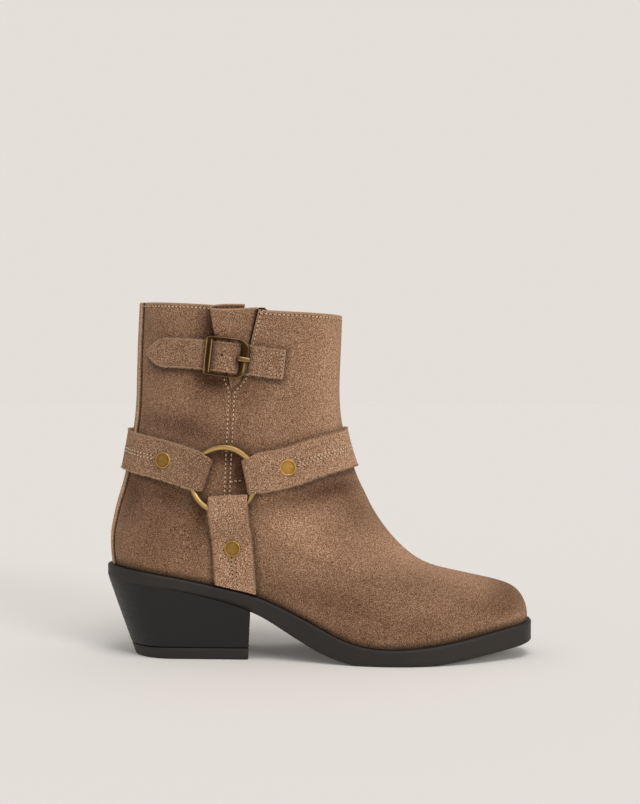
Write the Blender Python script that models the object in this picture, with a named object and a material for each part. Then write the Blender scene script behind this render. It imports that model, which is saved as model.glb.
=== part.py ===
"""A suede ankle boot for the right foot, with a ring harness and a buckled side pleat.

Frame: +X points to the toe, -Y to the outer side, +Y to the inner side and +Z up. The origin is on the
floor under the middle of the heel. Sizes are in millimetres, and each mesh is scaled to metres.
"""

from collections import namedtuple
from math import atan2, cos, degrees, pi, radians, sin

import bmesh
import bpy
import numpy as np
from mathutils import Vector
from mathutils.bvhtree import BVHTree

MM = 0.001
GAP = 0.3              # clearance between two pieces that meet

# Sole and heel
SOLE_BACK = -54.0
SOLE_TIP = 215.0
SOLE_BEVEL = 0.9
HEEL_BREAST = 38.6     # front face of the heel, at the sole
HEEL_FOOT_BACK = -36.2
HEEL_FOOT_BREAST = 37.0
HEEL_FOOT_HALF = 27.0
HEEL_INSET = 0.9       # the block stands this far inside the sole's edge
TOP_PIECE = 7.2
INSOLE = 3.0

# Upper and its trim
WALL = 2.0
STAY_HALF = 11.0
STAY_THICK = 1.2
PLEAT_THICK = 0.7
PLEAT_SKIVED = 0.3     # share of that thickness left at the insert's foot
PLEAT_FROM = 0.06      # share of the insert's height where its folds begin
PLEAT_GROWTH = 0.68    # share of its height over which they grow to their full depth
PLEAT_STAND = 0.5      # the folds stand out sooner than they overlap
PLEAT_RISE = 2.2       # the fold behind stands this much higher than the front fold
COLLAR_MARGIN = 4.0    # the upper's face is read this far below the rim for what stands at the collar

# Harness
STRAP_HALF = 12.0
LOWER_HALF = 11.6
STRAP_THICK = 2.3
STRAP_LIFT = 0.7       # air under a strap that lies on the upper
BULGE_LIMIT = 5.0      # a strap's edge bends down no further than this
FOLD_THICK = 1.3
RING_X = 22.2
RING_Z = 112.6
RING_RADIUS = 19.3
RING_WIRE = 1.6
RING_LIFT = 4.0
RIVET_RADIUS = 4.8
RIVET_HEIGHT = 1.5

# Buckle
BUCKLE_STRAP_HALF = 8.8
BUCKLE_STRAP_THICK = 1.7
BUCKLE_TIP_LENGTH = 17.0
BUCKLE_TIP_SHARE = 0.12  # width left at the strap's point
FRAME_HALF_HEIGHT = 11.4
FRAME_RAIL = 2.0
FRAME_THICK = 1.8
FRAME_LIFT = 4.95      # underside of the two end bars
FRAME_ARCH = 0.8
FRAME_CHAMFER = 0.35
LEFT_BAR = (-13.0, -8.8)
RIGHT_BAR = (8.0, 13.2)
CENTRE_BAR_RADIUS = 0.85
CENTRE_BAR_LIFT = 4.1
PRONG_HALF = 1.3
PRONG_THICK = 1.5
HOLE_AT = 6.0          # where the prong comes through the strap, from the frame's middle
HOLE_CLEAR = 0.5

# Axis of the shaft, which straps are laid round, and a distance that lies outside the boot
SHAFT_X = 30.0
SHAFT_Y = -1.0
OUTSIDE = 300.0
READ_REACH = 4.0       # the slope of the upper's face is read over this distance to each side

# Heights of the sole along the foot: its top edge and its underside
SoleRow = namedtuple("SoleRow", "x seat tread")
SOLE_ROWS = (
    SoleRow(-54, 57.2, 49.4),
    SoleRow(-26, 54.0, 46.0),
    SoleRow(17, 45.4, 37.0),
    SoleRow(41, 39.4, 29.0),
    SoleRow(67, 28.3, 14.2),
    SoleRow(81, 21.4, 6.6),
    SoleRow(93, 15.6, 2.2),
    SoleRow(104, 12.0, 0.0),
    SoleRow(127, 9.9, 0.0),
    SoleRow(146, 11.2, 0.0),
    SoleRow(165, 13.8, 1.9),
    SoleRow(186, 17.6, 4.8),
    SoleRow(208, 21.4, 8.3),
    SoleRow(215, 22.4, 9.6),
)

# Shares of a section's length where its half widths are given, and the curve of the foot's middle line
STATIONS = (0.0, 0.13, 0.40, 0.66, 0.86, 1.0)
SWING_AT = (0.0, 0.13, 0.40, 0.66, 1.0)
SWING = (0.0, 0.0, -3.8, -6.0, -4.4)

# One section of the last per row, from the sole's edge up to the collar: its back and front ends in side
# view, how much of the sole's curve it keeps, its half widths, and the lengths of its rounded ends
Section = namedtuple(
    "Section", "back_x back_z front_x front_z sag heel waist ball toe tip back_len nose_len nose_power"
)
SOLE_OUTLINE = Section(SOLE_BACK, 57.2, SOLE_TIP, 22.4, 1.0, 34.4, 32.6, 48.0, 37.2, 17.0, 36, 12, 2.7)
SECTIONS = (
    Section(-49.4, 57.5, 212.6, 22.4, 1.00, 31.6, 29.6, 45.2, 33.0, 16.5, 33, 15, 2.6),
    Section(-50.3, 66.0, 212.4, 28.0, 0.93, 32.4, 31.0, 46.0, 33.4, 17.5, 33, 17, 2.5),
    Section(-50.4, 76.0, 210.6, 34.5, 0.80, 32.6, 32.0, 45.6, 32.6, 19.0, 34, 22, 2.3),
    Section(-49.2, 84.0, 205.8, 41.0, 0.68, 32.4, 32.6, 43.0, 33.0, 24.0, 35, 48, 2.0),
    Section(-47.4, 92.5, 194.0, 46.2, 0.50, 32.0, 33.2, 39.5, 36.0, 32.0, 36, 84, 1.85),
    Section(-45.0, 101.0, 169.0, 51.4, 0.32, 31.8, 33.8, 39.0, 38.0, 36.0, 37, 92, 1.85),
    Section(-42.4, 110.0, 147.0, 58.2, 0.18, 31.6, 34.2, 38.5, 38.0, 37.0, 38, 94, 1.9),
    Section(-40.2, 120.0, 129.0, 72.4, 0.08, 31.6, 34.4, 37.6, 37.0, 36.0, 40, 92, 1.95),
    Section(-37.8, 133.0, 114.4, 92.6, 0.03, 31.8, 34.6, 36.6, 36.0, 35.0, 42, 84, 2.0),
    Section(-35.6, 147.0, 104.0, 115.0, 0.01, 32.4, 35.2, 36.4, 36.0, 35.0, 44, 76, 2.05),
    Section(-34.4, 161.0, 97.2, 137.0, 0.02, 33.2, 36.0, 36.6, 36.0, 35.0, 47, 70, 2.1),
    Section(-34.0, 176.0, 94.2, 156.0, 0.04, 34.0, 36.8, 37.0, 36.5, 35.5, 50, 66, 2.1),
    Section(-33.6, 191.0, 93.9, 175.0, 0.05, 34.6, 37.4, 37.4, 37.0, 36.0, 52, 64, 2.15),
    Section(-33.0, 206.5, 94.8, 195.0, 0.06, 35.0, 37.8, 37.8, 37.5, 36.5, 53, 62, 2.2),
    Section(-32.2, 222.0, 95.4, 213.8, 0.06, 35.4, 38.2, 38.2, 38.0, 37.0, 54, 60, 2.2),
)
SHAFT_SWING = 0.2      # share of the foot's side curve that is left at the collar

# The side notch: its two edges in side view, from its point up past the collar
NotchRow = namedtuple("NotchRow", "z rear front")
NOTCH_ROWS = (
    NotchRow(166.0, 27.3, 27.7),
    NotchRow(169.5, 25.6, 31.4),
    NotchRow(175.0, 24.0, 35.0),
    NotchRow(194.5, 20.8, 38.9),
    NotchRow(216.0, 18.3, 43.9),
    NotchRow(226.0, 17.4, 46.0),
)

# The pleat across the notch at the collar, sewn in from behind: share of the way from the notch's front
# edge to its rear edge, how far it is tucked behind the edge, how far it stands out from the upper's
# face, and its share of the rear fold's extra height
PleatRow = namedtuple("PleatRow", "across tuck out rise")
PLEAT_ROWS = (
    PleatRow(0.00, 4.0, -3.0, 0.0),
    PleatRow(0.00, 1.0, -3.0, 0.0),
    PleatRow(0.09, 0.0, -2.8, 0.0),
    PleatRow(0.20, 0.0, -0.9, 0.0),
    PleatRow(0.44, 0.0, 1.6, 0.0),
    PleatRow(0.75, 0.0, 3.2, 0.0),
    PleatRow(1.06, 0.0, 3.9, 0.0),
    PleatRow(1.18, 0.0, 3.6, 0.1),
    PleatRow(1.21, 0.0, 2.9, 0.3),
    PleatRow(1.17, 0.0, 2.2, 0.5),
    PleatRow(1.04, 0.0, 1.9, 0.7),
    PleatRow(0.74, 0.0, 1.0, 1.0),
    PleatRow(0.48, 0.0, -0.4, 1.0),
    PleatRow(0.38, 0.0, -1.2, 1.0),
    PleatRow(0.35, 0.0, -1.9, 0.9),
    PleatRow(0.39, 0.0, -2.6, 0.7),
    PleatRow(0.54, 0.0, -3.0, 0.3),
    PleatRow(0.94, 0.0, -3.0, 0.0),
    PleatRow(1.00, -1.0, -3.0, 0.0),
    PleatRow(1.00, -4.0, -3.0, 0.0),
)
PLEAT_BELOW = 2.0      # the insert reaches this far below the notch's point

# Routes of the straps round the shaft: angle from the front, positive to the inner side, and height
RouteRow = namedtuple("RouteRow", "angle z")
HARNESS_ROUTE = (
    RouteRow(-80.5, 114.4),
    RouteRow(-51, 118.6),
    RouteRow(-24, 126.4),
    RouteRow(0, 130.4),
    RouteRow(90, 131.5),
    RouteRow(180, 129.4),
    RouteRow(203, 125.4),
    RouteRow(216, 122.4),
    RouteRow(243.5, 115.6),
)
BUCKLE_ROUTE = (
    RouteRow(-163.5, 190.4),
    RouteRow(-130, 189.0),
    RouteRow(-98, 186.5),
    RouteRow(-50, 182.2),
)
BUCKLE_ANGLE = -97.5
RIVET_FRONT_ANGLE = -48.8
RIVET_BACK_ANGLE = 212.6
LOWER_TOP = (25.0, 102.0)
LOWER_FOOT = (29.4, 52.0)
LOWER_LIE = 26.0       # where the lower strap lies down on the upper, from its fold
LOWER_REST = 8.5       # straight end of the lower strap, from its foot down to the sole
LOWER_RIVET_Z = 70.0
LOWER_SKEW = 0.30      # slope of the sole's edge, which the lower strap's end follows

# The strap's fold round the ring, from its hidden end: distance from the fold, and height from the wire
FoldRow = namedtuple("FoldRow", "along out thick")
FOLD_REACH = 2.7       # from the wire's middle to the middle of the strap on each side of it
FOLD_INNER = (
    FoldRow(18.0, -FOLD_REACH, FOLD_THICK),
    FoldRow(10.0, -FOLD_REACH, FOLD_THICK),
)
FOLD_OUTER = (
    FoldRow(10.0, FOLD_REACH, FOLD_THICK),
    FoldRow(16.0, 1.4, 1.6),
)
FOLD_STEPS = 6
FOLD_END = 30.0        # where the strap lies down on the upper

# The buckle strap's height over the upper, measured from the frame's middle towards the toe
LiftRow = namedtuple("LiftRow", "along out")
BUCKLE_LIFTS = (
    LiftRow(-80, 1.25),
    LiftRow(-30, 1.25),
    LiftRow(-19, 2.5),
    LiftRow(-13, 3.6),
    LiftRow(-8.6, 3.9),
    LiftRow(-4.5, 5.5),
    LiftRow(0, 6.2),
    LiftRow(4.5, 5.5),
    LiftRow(8, 3.9),
    LiftRow(13, 3.5),
    LiftRow(19, 2.4),
    LiftRow(28, 1.25),
    LiftRow(60, 1.25),
)
PRONG_ROWS = (
    LiftRow(HOLE_AT, 3.9),
    LiftRow(HOLE_AT, 6.8),
    LiftRow(7.0, 8.1),
    LiftRow(9.0, 8.4),
    LiftRow(12.2, 8.1),
    LiftRow(13.8, 7.8),
)

# Outline of a rivet's cap from its edge to its middle, as shares of its height and radius
RivetRow = namedtuple("RivetRow", "height radius")
RIVET_ROWS = (
    RivetRow(0.0, 1.0),
    RivetRow(0.55, 1.0),
    RivetRow(1.0, 0.88),
    RivetRow(1.0, 0.72),
    RivetRow(0.82, 0.66),
)

# Corner radii of the buckle frame's outer edge and of its window, at its left and right bars
FrameEdge = namedtuple("FrameEdge", "left right")
FRAME_OUTER = FrameEdge(1.2, 5.0)
FRAME_WINDOW = FrameEdge(0.6, 2.4)

# Mesh fineness
UPPER_RINGS = 25
UPPER_POINTS = 52
SOLE_POINTS = 64
HEEL_POINTS = 15
REFERENCE_RINGS = 110
REFERENCE_POINTS = 240
HARNESS_STEP = 7.5
PLEAT_POINTS = 25
PLEAT_LEVELS = 11
NOTCH_LEVELS = 12
STAY_LEVELS = 22
STAY_STRIPS = 6
RING_STEPS = 44
WIRE_SIDES = 8
RIVET_SIDES = 20
CORNER_STEPS = 4
TIP_SHARES = (0.06, 0.16, 0.3, 0.5, 0.75, 1.0)

Finish = namedtuple("Finish", "colour roughness metallic")
FINISHES = {
    "suede": Finish((0.23, 0.145, 0.092), 0.95, 0.0),
    "strap_suede": Finish((0.27, 0.175, 0.115), 0.95, 0.0),
    "sole_rubber": Finish((0.030, 0.027, 0.024), 0.55, 0.0),
    "footbed": Finish((0.16, 0.11, 0.075), 0.8, 0.0),
    "brass": Finish((0.36, 0.25, 0.10), 0.38, 1.0),
}


def slopes(xs, ys):
    """Tangents of a curve through a table's rows that never swings past them."""
    rates = np.diff(ys) / np.diff(xs)
    result = np.zeros(len(xs))
    result[0] = rates[0]
    result[-1] = rates[-1]
    for i in range(1, len(xs) - 1):
        before = rates[i - 1]
        after = rates[i]
        if before * after > 0.0:
            result[i] = 2.0 * before * after / (before + after)
    return result


def smooth(xs, ys, x):
    """Value at x, a number or an array, of the smooth curve through the points xs, ys."""
    xs = np.asarray(xs, float)
    ys = np.asarray(ys, float)
    x = np.clip(x, xs[0], xs[-1])
    lower = np.clip(np.searchsorted(xs, x, side="right") - 1, 0, len(xs) - 2)
    tangents = slopes(xs, ys)
    width = xs[lower + 1] - xs[lower]
    u = (x - xs[lower]) / width
    start = (1 + 2 * u) * (1 - u) ** 2 * ys[lower] + u * (1 - u) ** 2 * width * tangents[lower]
    end = u * u * (3 - 2 * u) * ys[lower + 1] - u * u * (1 - u) * width * tangents[lower + 1]
    return start + end


def spline(xs, ys, x):
    """Value at x of the curve through the points xs, ys whose bend changes evenly, for full forms."""
    xs = np.asarray(xs, float)
    ys = np.asarray(ys, float)
    steps = np.diff(xs)
    rates = np.diff(ys) / steps
    system = np.eye(len(xs))
    pull = np.zeros(len(xs))
    for i in range(1, len(xs) - 1):
        system[i, i - 1] = steps[i - 1]
        system[i, i] = 2.0 * (steps[i - 1] + steps[i])
        system[i, i + 1] = steps[i]
        pull[i] = 6.0 * (rates[i] - rates[i - 1])
    bends = np.linalg.solve(system, pull)
    x = np.clip(x, xs[0], xs[-1])
    lower = np.clip(np.searchsorted(xs, x, side="right") - 1, 0, len(xs) - 2)
    width = steps[lower]
    left = (xs[lower + 1] - x) / width
    right = 1.0 - left
    bow = (left ** 3 - left) * bends[lower] + (right ** 3 - right) * bends[lower + 1]
    return left * ys[lower] + right * ys[lower + 1] + bow * width * width / 6.0


def column(rows, name):
    return [getattr(row, name) for row in rows]


def seat(x):
    """Height of the sole's top edge."""
    return spline(column(SOLE_ROWS, "x"), column(SOLE_ROWS, "seat"), x)


def tread(x):
    """Height of the sole's underside."""
    return smooth(column(SOLE_ROWS, "x"), column(SOLE_ROWS, "tread"), x)


def rounded(distance, length, power):
    """Share of the full width at a distance from a rounded end."""
    left = np.clip(1.0 - distance / length, 0.0, 1.0)
    return (1.0 - left ** power) ** (1.0 / power)


def half_width(section, along):
    """Half width of a section at a share of its length."""
    length = section.front_x - section.back_x
    widths = (section.heel, section.heel, section.waist, section.ball, section.toe, section.tip)
    half = spline(STATIONS, widths, along)
    half = half * rounded(along * length, section.back_len, 2.0)
    return half * rounded((1.0 - along) * length, section.nose_len, section.nose_power)


def middle_line(along):
    """Side curve of the foot's middle line."""
    return spline(SWING_AT, SWING, along)


def seat_sag(along):
    """How far the sole's edge hangs below the straight line between its ends."""
    foot = SECTIONS[0]
    x = foot.back_x + along * (foot.front_x - foot.back_x)
    straight = seat(foot.back_x) + along * (seat(foot.front_x) - seat(foot.back_x))
    return seat(x) - straight


def section_at(v):
    """Section of the last at a share of the way from the sole's edge to the collar."""
    index = np.arange(len(SECTIONS))
    row = v * (len(SECTIONS) - 1)
    return Section(*(float(spline(index, column(SECTIONS, name), row)) for name in Section._fields))


def last_ring(v, theta):
    """Points of the upper's outer face: theta runs from the back by the outer side to the front and on."""
    section = section_at(v)
    along = 0.5 * (1.0 - np.cos(theta))
    x = section.back_x + along * (section.front_x - section.back_x)
    z = section.back_z + along * (section.front_z - section.back_z) + section.sag * seat_sag(along)
    swing = 1.0 - (1.0 - SHAFT_SWING) * v * v * (3.0 - 2.0 * v)
    y = swing * middle_line(along) - np.sign(np.sin(theta)) * half_width(section, along)
    return np.stack((x, y, z), axis=-1)


def unit(vectors):
    return vectors / np.linalg.norm(vectors, axis=-1, keepdims=True)


def last_normals(v, theta, level=False):
    """Outward directions of the upper's outer face, kept level at its rims."""
    turn = 0.03
    rise = 0.006
    around = last_ring(v, theta + turn) - last_ring(v, theta - turn)
    upward = last_ring(min(v + rise, 1.0), theta) - last_ring(max(v - rise, 0.0), theta)
    normals = np.cross(around, upward)
    if level:
        normals[:, 2] = 0.0
    return unit(normals)


def make_material(name):
    finish = FINISHES[name]
    material = bpy.data.materials.get(name)
    if material is None:
        material = bpy.data.materials.new(name)
        material.use_nodes = True
        shader = material.node_tree.nodes["Principled BSDF"]
        shader.inputs["Base Color"].default_value = (*finish.colour, 1.0)
        shader.inputs["Roughness"].default_value = finish.roughness
        shader.inputs["Metallic"].default_value = finish.metallic
    return material


def make_object(name, points, faces, finish):
    """Object from points in millimetres, with its faces turned outwards."""
    mesh = bpy.data.meshes.new(name)
    mesh.from_pydata([tuple(float(value) * MM for value in point) for point in points], [], faces)
    work = bmesh.new()
    work.from_mesh(mesh)
    bmesh.ops.recalc_face_normals(work, faces=work.faces)
    work.to_mesh(mesh)
    work.free()
    mesh.shade_smooth()
    mesh.set_sharp_from_angle(angle=radians(40))
    made = bpy.data.objects.new(name, mesh)
    bpy.context.scene.collection.objects.link(made)
    if finish is None:
        made.hide_render = True
        made.display_type = "WIRE"
    else:
        mesh.materials.append(make_material(finish))
    return made


def cut(target, cutter, operation="DIFFERENCE"):
    boolean = target.modifiers.new(cutter.name, "BOOLEAN")
    boolean.object = cutter
    boolean.operation = operation
    boolean.solver = "EXACT"


def skin_loops(loops, closed=False):
    """Quads between rows of loops with the same number of points, with end caps unless the rows close."""
    count = len(loops[0])
    rows = len(loops)
    faces = []
    for row in range(rows if closed else rows - 1):
        lower = row * count
        upper = (row + 1) % rows * count
        for i in range(count):
            j = (i + 1) % count
            faces.append((lower + i, lower + j, upper + j, upper + i))
    if not closed:
        faces.append(tuple(range(count)))
        faces.append(tuple(range((rows - 1) * count, rows * count)))
    return [point for loop in loops for point in loop], faces


def fill_across(first, count):
    """Strips across a ring whose points i and count - i face each other, up to its far point or edge."""
    faces = [(first, first + 1, first + count - 1)]
    half = (count - 1) // 2
    for i in range(1, half):
        faces.append((first + i, first + i + 1, first + count - i - 1, first + count - i))
    if count % 2 == 0:
        faces.append((first + half, first + half + 1, first + half + 2))
    return faces


def ring_plate(name, loops, finish):
    """Closed plate from rings of points, filled across its first and last ring."""
    count = len(loops[0])
    points, faces = skin_loops(loops)
    faces = faces[:-2]
    faces += fill_across(0, count)
    faces += fill_across((len(loops) - 1) * count, count)
    return make_object(name, points, faces, finish)


def sole_ring(inset, height):
    """Ring round the sole, drawn in by an inset, at a height worked out from x."""
    theta = np.arange(SOLE_POINTS) * 2.0 * pi / SOLE_POINTS
    along = 0.5 * (1.0 - np.cos(theta))
    x = SOLE_BACK + inset + along * (SOLE_TIP - SOLE_BACK - 2.0 * inset)
    half = half_width(SOLE_OUTLINE, along)
    half = half - np.minimum(inset, half)
    y = middle_line(along) - np.sign(np.sin(theta)) * half
    return np.stack((x, y, height(x)), axis=-1)


def make_outsole():
    loops = (
        sole_ring(1.3 * SOLE_BEVEL, tread),
        sole_ring(0.0, lambda x: tread(x) + SOLE_BEVEL),
        sole_ring(0.0, lambda x: seat(x) - SOLE_BEVEL),
        sole_ring(SOLE_BEVEL, seat),
    )
    return ring_plate("outsole", loops, "sole_rubber")


def heel_ring(share, height):
    """D-shaped ring of the heel, at a share of the way from the sole to the floor."""
    def mix(top, foot):
        return top + share * (foot - top)

    back = mix(SOLE_BACK + HEEL_INSET, HEEL_FOOT_BACK)
    breast = mix(HEEL_BREAST, HEEL_FOOT_BREAST)
    half = mix(SOLE_OUTLINE.heel - HEEL_INSET, HEEL_FOOT_HALF)
    round_len = mix(SOLE_OUTLINE.back_len, HEEL_FOOT_HALF)
    turn = np.arange(HEEL_POINTS) / (HEEL_POINTS - 1)
    x = back + (1.0 - np.cos(0.5 * pi * turn)) * (breast - back)
    reach = half * rounded(x - back, round_len, 2.0)
    middle = middle_line((x - SOLE_BACK) / (SOLE_TIP - SOLE_BACK))
    outer = np.stack((x, middle - reach, height(x)), axis=-1)
    inner = np.stack((x, middle + reach, height(x)), axis=-1)
    return np.concatenate((outer, inner[:0:-1]))


def level_at(z):
    return lambda x: np.full(np.shape(x), z)


def heel_share(z):
    """Share of the heel's height at its back, where the slanted back line is set."""
    return 1.0 - z / tread(SOLE_BACK)


def make_heel():
    foot_z = TOP_PIECE + GAP
    chamfer = 0.5
    inward = 0.012
    block = (
        heel_ring(0.0, lambda x: tread(x) - GAP),
        heel_ring(heel_share(foot_z + chamfer), level_at(foot_z + chamfer)),
        heel_ring(heel_share(foot_z) + inward, level_at(foot_z)),
    )
    top_piece = (
        heel_ring(heel_share(TOP_PIECE) + inward, level_at(TOP_PIECE)),
        heel_ring(heel_share(TOP_PIECE - chamfer), level_at(TOP_PIECE - chamfer)),
        heel_ring(heel_share(chamfer), level_at(chamfer)),
        heel_ring(1.0, level_at(0.0)),
    )
    ring_plate("heel_block", block, "sole_rubber")
    ring_plate("heel_top_piece", top_piece, "sole_rubber")


def make_insole():
    theta = np.arange(UPPER_POINTS) * 2.0 * pi / UPPER_POINTS
    ring = last_ring(0.0, theta) - (WALL + 2.0 * GAP) * last_normals(0.0, theta, level=True)
    top = ring + np.array((0.0, 0.0, INSOLE))
    return ring_plate("insole", (ring, top), "footbed")


def make_upper():
    """Hollow wall from the sole's edge to the collar, with the side notch cut through it."""
    theta = np.arange(UPPER_POINTS) * 2.0 * pi / UPPER_POINTS
    outer = []
    inner = []
    for level in range(UPPER_RINGS):
        v = level / (UPPER_RINGS - 1)
        at_rim = level in (0, UPPER_RINGS - 1)
        ring = last_ring(v, theta)
        outer.append(ring)
        inner.append(ring - WALL * last_normals(v, theta, at_rim))
    points, faces = skin_loops(outer + inner[::-1], closed=True)
    upper = make_object("upper", points, faces, "suede")
    cut(upper, make_notch_cutter())
    return upper


def notch_edge(name, z):
    return smooth(column(NOTCH_ROWS, "z"), column(NOTCH_ROWS, name), z)


def make_notch_cutter():
    levels = np.linspace(NOTCH_ROWS[0].z, NOTCH_ROWS[-1].z, NOTCH_LEVELS)
    rear = [(notch_edge("rear", z), z) for z in levels]
    front = [(notch_edge("front", z), z) for z in levels]
    outline = front + rear[::-1]
    past_middle = -12.0
    loops = [[(x, y, z) for x, z in outline] for y in (-OUTSIDE, past_middle)]
    points, faces = skin_loops(loops)
    return make_object("notch_cutter", points, faces, None)


def make_reference():
    """Fine copy of the upper's outer face, which straps and trim are laid on."""
    theta = np.arange(REFERENCE_POINTS) * 2.0 * pi / REFERENCE_POINTS
    rings = [last_ring(v, theta) for v in np.linspace(0.0, 1.0, REFERENCE_RINGS)]
    points, faces = skin_loops(rings)
    return BVHTree.FromPolygons([Vector(point) for point in points], faces[:-2])


def hit(reference, start, direction):
    found = reference.ray_cast(Vector(start), Vector(direction))[0]
    return None if found is None else np.array(found)


def shaft_point(reference, angle, z):
    """Point of the upper at an angle round the shaft's axis."""
    out = np.array((cos(radians(angle)), sin(radians(angle)), 0.0))
    start = np.array((SHAFT_X, SHAFT_Y, z)) + OUTSIDE * out
    return hit(reference, start, -out)


def side_point(reference, x, z):
    """Point of the upper's outer side, looking along +Y."""
    return hit(reference, (x, -OUTSIDE, z), (0.0, 1.0, 0.0))


def side_slope(reference, x, z):
    """Run of the upper's outer side towards the toe, at one height."""
    return side_point(reference, x + READ_REACH, z) - side_point(reference, x - READ_REACH, z)


class Route:
    """A line on the upper with its run, outward and cross directions at each distance along it."""

    def __init__(self, reference, points, normals):
        self.reference = reference
        self.points = np.array(points)
        steps = np.linalg.norm(np.diff(self.points, axis=0), axis=1)
        self.along = np.concatenate(((0.0,), np.cumsum(steps)))
        self.length = self.along[-1]
        runs = unit(np.gradient(self.points, self.along, axis=0))
        normals = unit(np.array(normals))
        self.runs = unit(runs - normals * np.sum(runs * normals, axis=1, keepdims=True))
        self.normals = normals

    def _read(self, values, a):
        return np.array([np.interp(a, self.along, values[:, i]) for i in range(3)])

    def frame(self, a):
        """Point, run, outward and cross directions at a distance, carried on straight past the ends."""
        inside = min(max(a, 0.0), self.length)
        run = unit(self._read(self.runs, inside))
        normal = unit(self._read(self.normals, inside))
        point = self._read(self.points, inside) + run * (a - inside)
        return point, run, normal, np.cross(normal, run)

    def place(self, a, across, out):
        point, _, normal, side = self.frame(a)
        return point + side * across + normal * out

    def bulge(self, a, across):
        """Height of the upper over the route's own tangent plane, to one side of the route."""
        point, _, normal, side = self.frame(min(max(a, 0.0), self.length))
        far = 40.0
        found = hit(self.reference, point + side * across + normal * far, -normal)
        if found is None:
            return 0.0
        return max(float(np.dot(found - point, normal)), -BULGE_LIMIT)


def shaft_route(reference, rows, samples=160):
    angles = np.linspace(rows[0].angle, rows[-1].angle, samples)
    heights = smooth(column(rows, "angle"), column(rows, "z"), angles)
    turn = 4.0
    rise = 5.0
    points = []
    normals = []
    for angle, z in zip(angles, heights):
        around = shaft_point(reference, angle + turn, z) - shaft_point(reference, angle - turn, z)
        upward = shaft_point(reference, angle, z + rise) - shaft_point(reference, angle, z - rise)
        points.append(shaft_point(reference, angle, z))
        normals.append(np.cross(around, upward))
    return Route(reference, points, normals)


def side_route(reference, start, end, samples=60):
    points = []
    normals = []
    for share in np.linspace(0.0, 1.0, samples):
        x = start[0] + share * (end[0] - start[0])
        z = start[1] + share * (end[1] - start[1])
        upward = side_point(reference, x, z + READ_REACH) - side_point(reference, x, z)
        points.append(side_point(reference, x, z))
        normals.append(np.cross(side_slope(reference, x, z), upward))
    return Route(reference, points, normals)


PathRow = namedtuple("PathRow", "a out thick hug")


def make_band(name, route, path, half, finish, skew=None, across=4):
    """Sheet along a path over a route: a row gives its place, its height, its thickness and how far it
    follows the upper to each side. half and skew give its half width and the slant of its ends."""
    loops = []
    for i, row in enumerate(path):
        before = path[max(i - 1, 0)]
        after = path[min(i + 1, len(path) - 1)]
        step = np.array((after.a - before.a, after.out - before.out))
        step = step / np.linalg.norm(step)
        _, run, normal, _ = route.frame(row.a)
        face = normal * step[0] - run * step[1]
        upper_side = []
        lower_side = []
        for j in range(across + 1):
            h = half(row.a) * (2.0 * j / across - 1.0)
            slant = 0.0 if skew is None else skew(row.a) * h
            bulge = route.bulge(row.a, h)
            rise = bulge if bulge > 0.0 else row.hug * bulge
            centre = route.place(row.a + slant, h, row.out + rise)
            upper_side.append(centre + face * 0.5 * row.thick)
            lower_side.append(centre - face * 0.5 * row.thick)
        loops.append(upper_side + lower_side[::-1])
    points, faces = skin_loops(loops)
    return make_object(name, points, faces, finish)


def fold_path(wire_out):
    """Path of a strap's end from its hidden layer, round the ring's wire, to its outer layer."""
    path = [PathRow(row.along, wire_out + row.out, row.thick, 0.0) for row in FOLD_INNER]
    for step in range(FOLD_STEPS + 1):
        turn = pi * step / FOLD_STEPS
        along = FOLD_REACH * (1.0 - sin(turn))
        path.append(PathRow(along, wire_out - FOLD_REACH * cos(turn), FOLD_THICK, 0.0))
    path += [PathRow(row.along, wire_out + row.out, row.thick, 0.0) for row in FOLD_OUTER]
    return path


def over_stay(angle):
    """Extra lift of the harness strap where it crosses the back stay."""
    off = abs(angle - 180.0)
    clear = 13.0
    free = 26.0
    return (STAY_THICK + 2.0 * GAP) * float(np.clip((free - off) / (free - clear), 0.0, 1.0))


def wire_height(route, ring_frame, a):
    """Height over the upper of the ring's plane where a strap is folded round it."""
    centre, axis = ring_frame
    point, _, normal, _ = route.frame(a)
    return float(np.dot(centre - point, axis) / np.dot(normal, axis))


def shaft_angle(point):
    angle = degrees(atan2(point[1] - SHAFT_Y, point[0] - SHAFT_X))
    return angle + 360.0 if angle < HARNESS_ROUTE[0].angle - 1.0 else angle


def harness_path(route, ring_frame):
    front = fold_path(wire_height(route, ring_frame, FOLD_REACH))
    back = fold_path(wire_height(route, ring_frame, route.length - FOLD_REACH))
    path = list(front)
    lying = STRAP_LIFT + 0.5 * STRAP_THICK
    steps = int((route.length - 2.0 * FOLD_END) / HARNESS_STEP)
    for a in np.linspace(FOLD_END, route.length - FOLD_END, steps):
        extra = over_stay(shaft_angle(route.frame(a)[0]))
        path.append(PathRow(a, lying + extra, STRAP_THICK, 1.0))
    path += [row._replace(a=route.length - row.a) for row in reversed(back)]
    return path


def face_height(path, a):
    """Height of a path's outer face at a distance, from its outer rows alone."""
    first = FOLD_STEPS + len(FOLD_INNER)
    rows = sorted((row.a, row.out + 0.5 * row.thick) for row in path[first:] if row.thick > FOLD_THICK)
    return float(np.interp(a, [row[0] for row in rows], [row[1] for row in rows]))


def make_ring(ring_frame, name, wire, finish):
    centre, axis = ring_frame
    side = unit(np.cross((0.0, 0.0, 1.0), axis))
    up = np.cross(axis, side)
    loops = []
    for i in range(RING_STEPS):
        turn = 2.0 * pi * i / RING_STEPS
        out = side * cos(turn) + up * sin(turn)
        loop = []
        for j in range(WIRE_SIDES):
            tilt = 2.0 * pi * (j + 0.5) / WIRE_SIDES
            loop.append(centre + out * (RING_RADIUS + wire * cos(tilt)) + axis * wire * sin(tilt))
        loops.append(loop)
    points, faces = skin_loops(loops, closed=True)
    return make_object(name, points, faces, finish)


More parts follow.
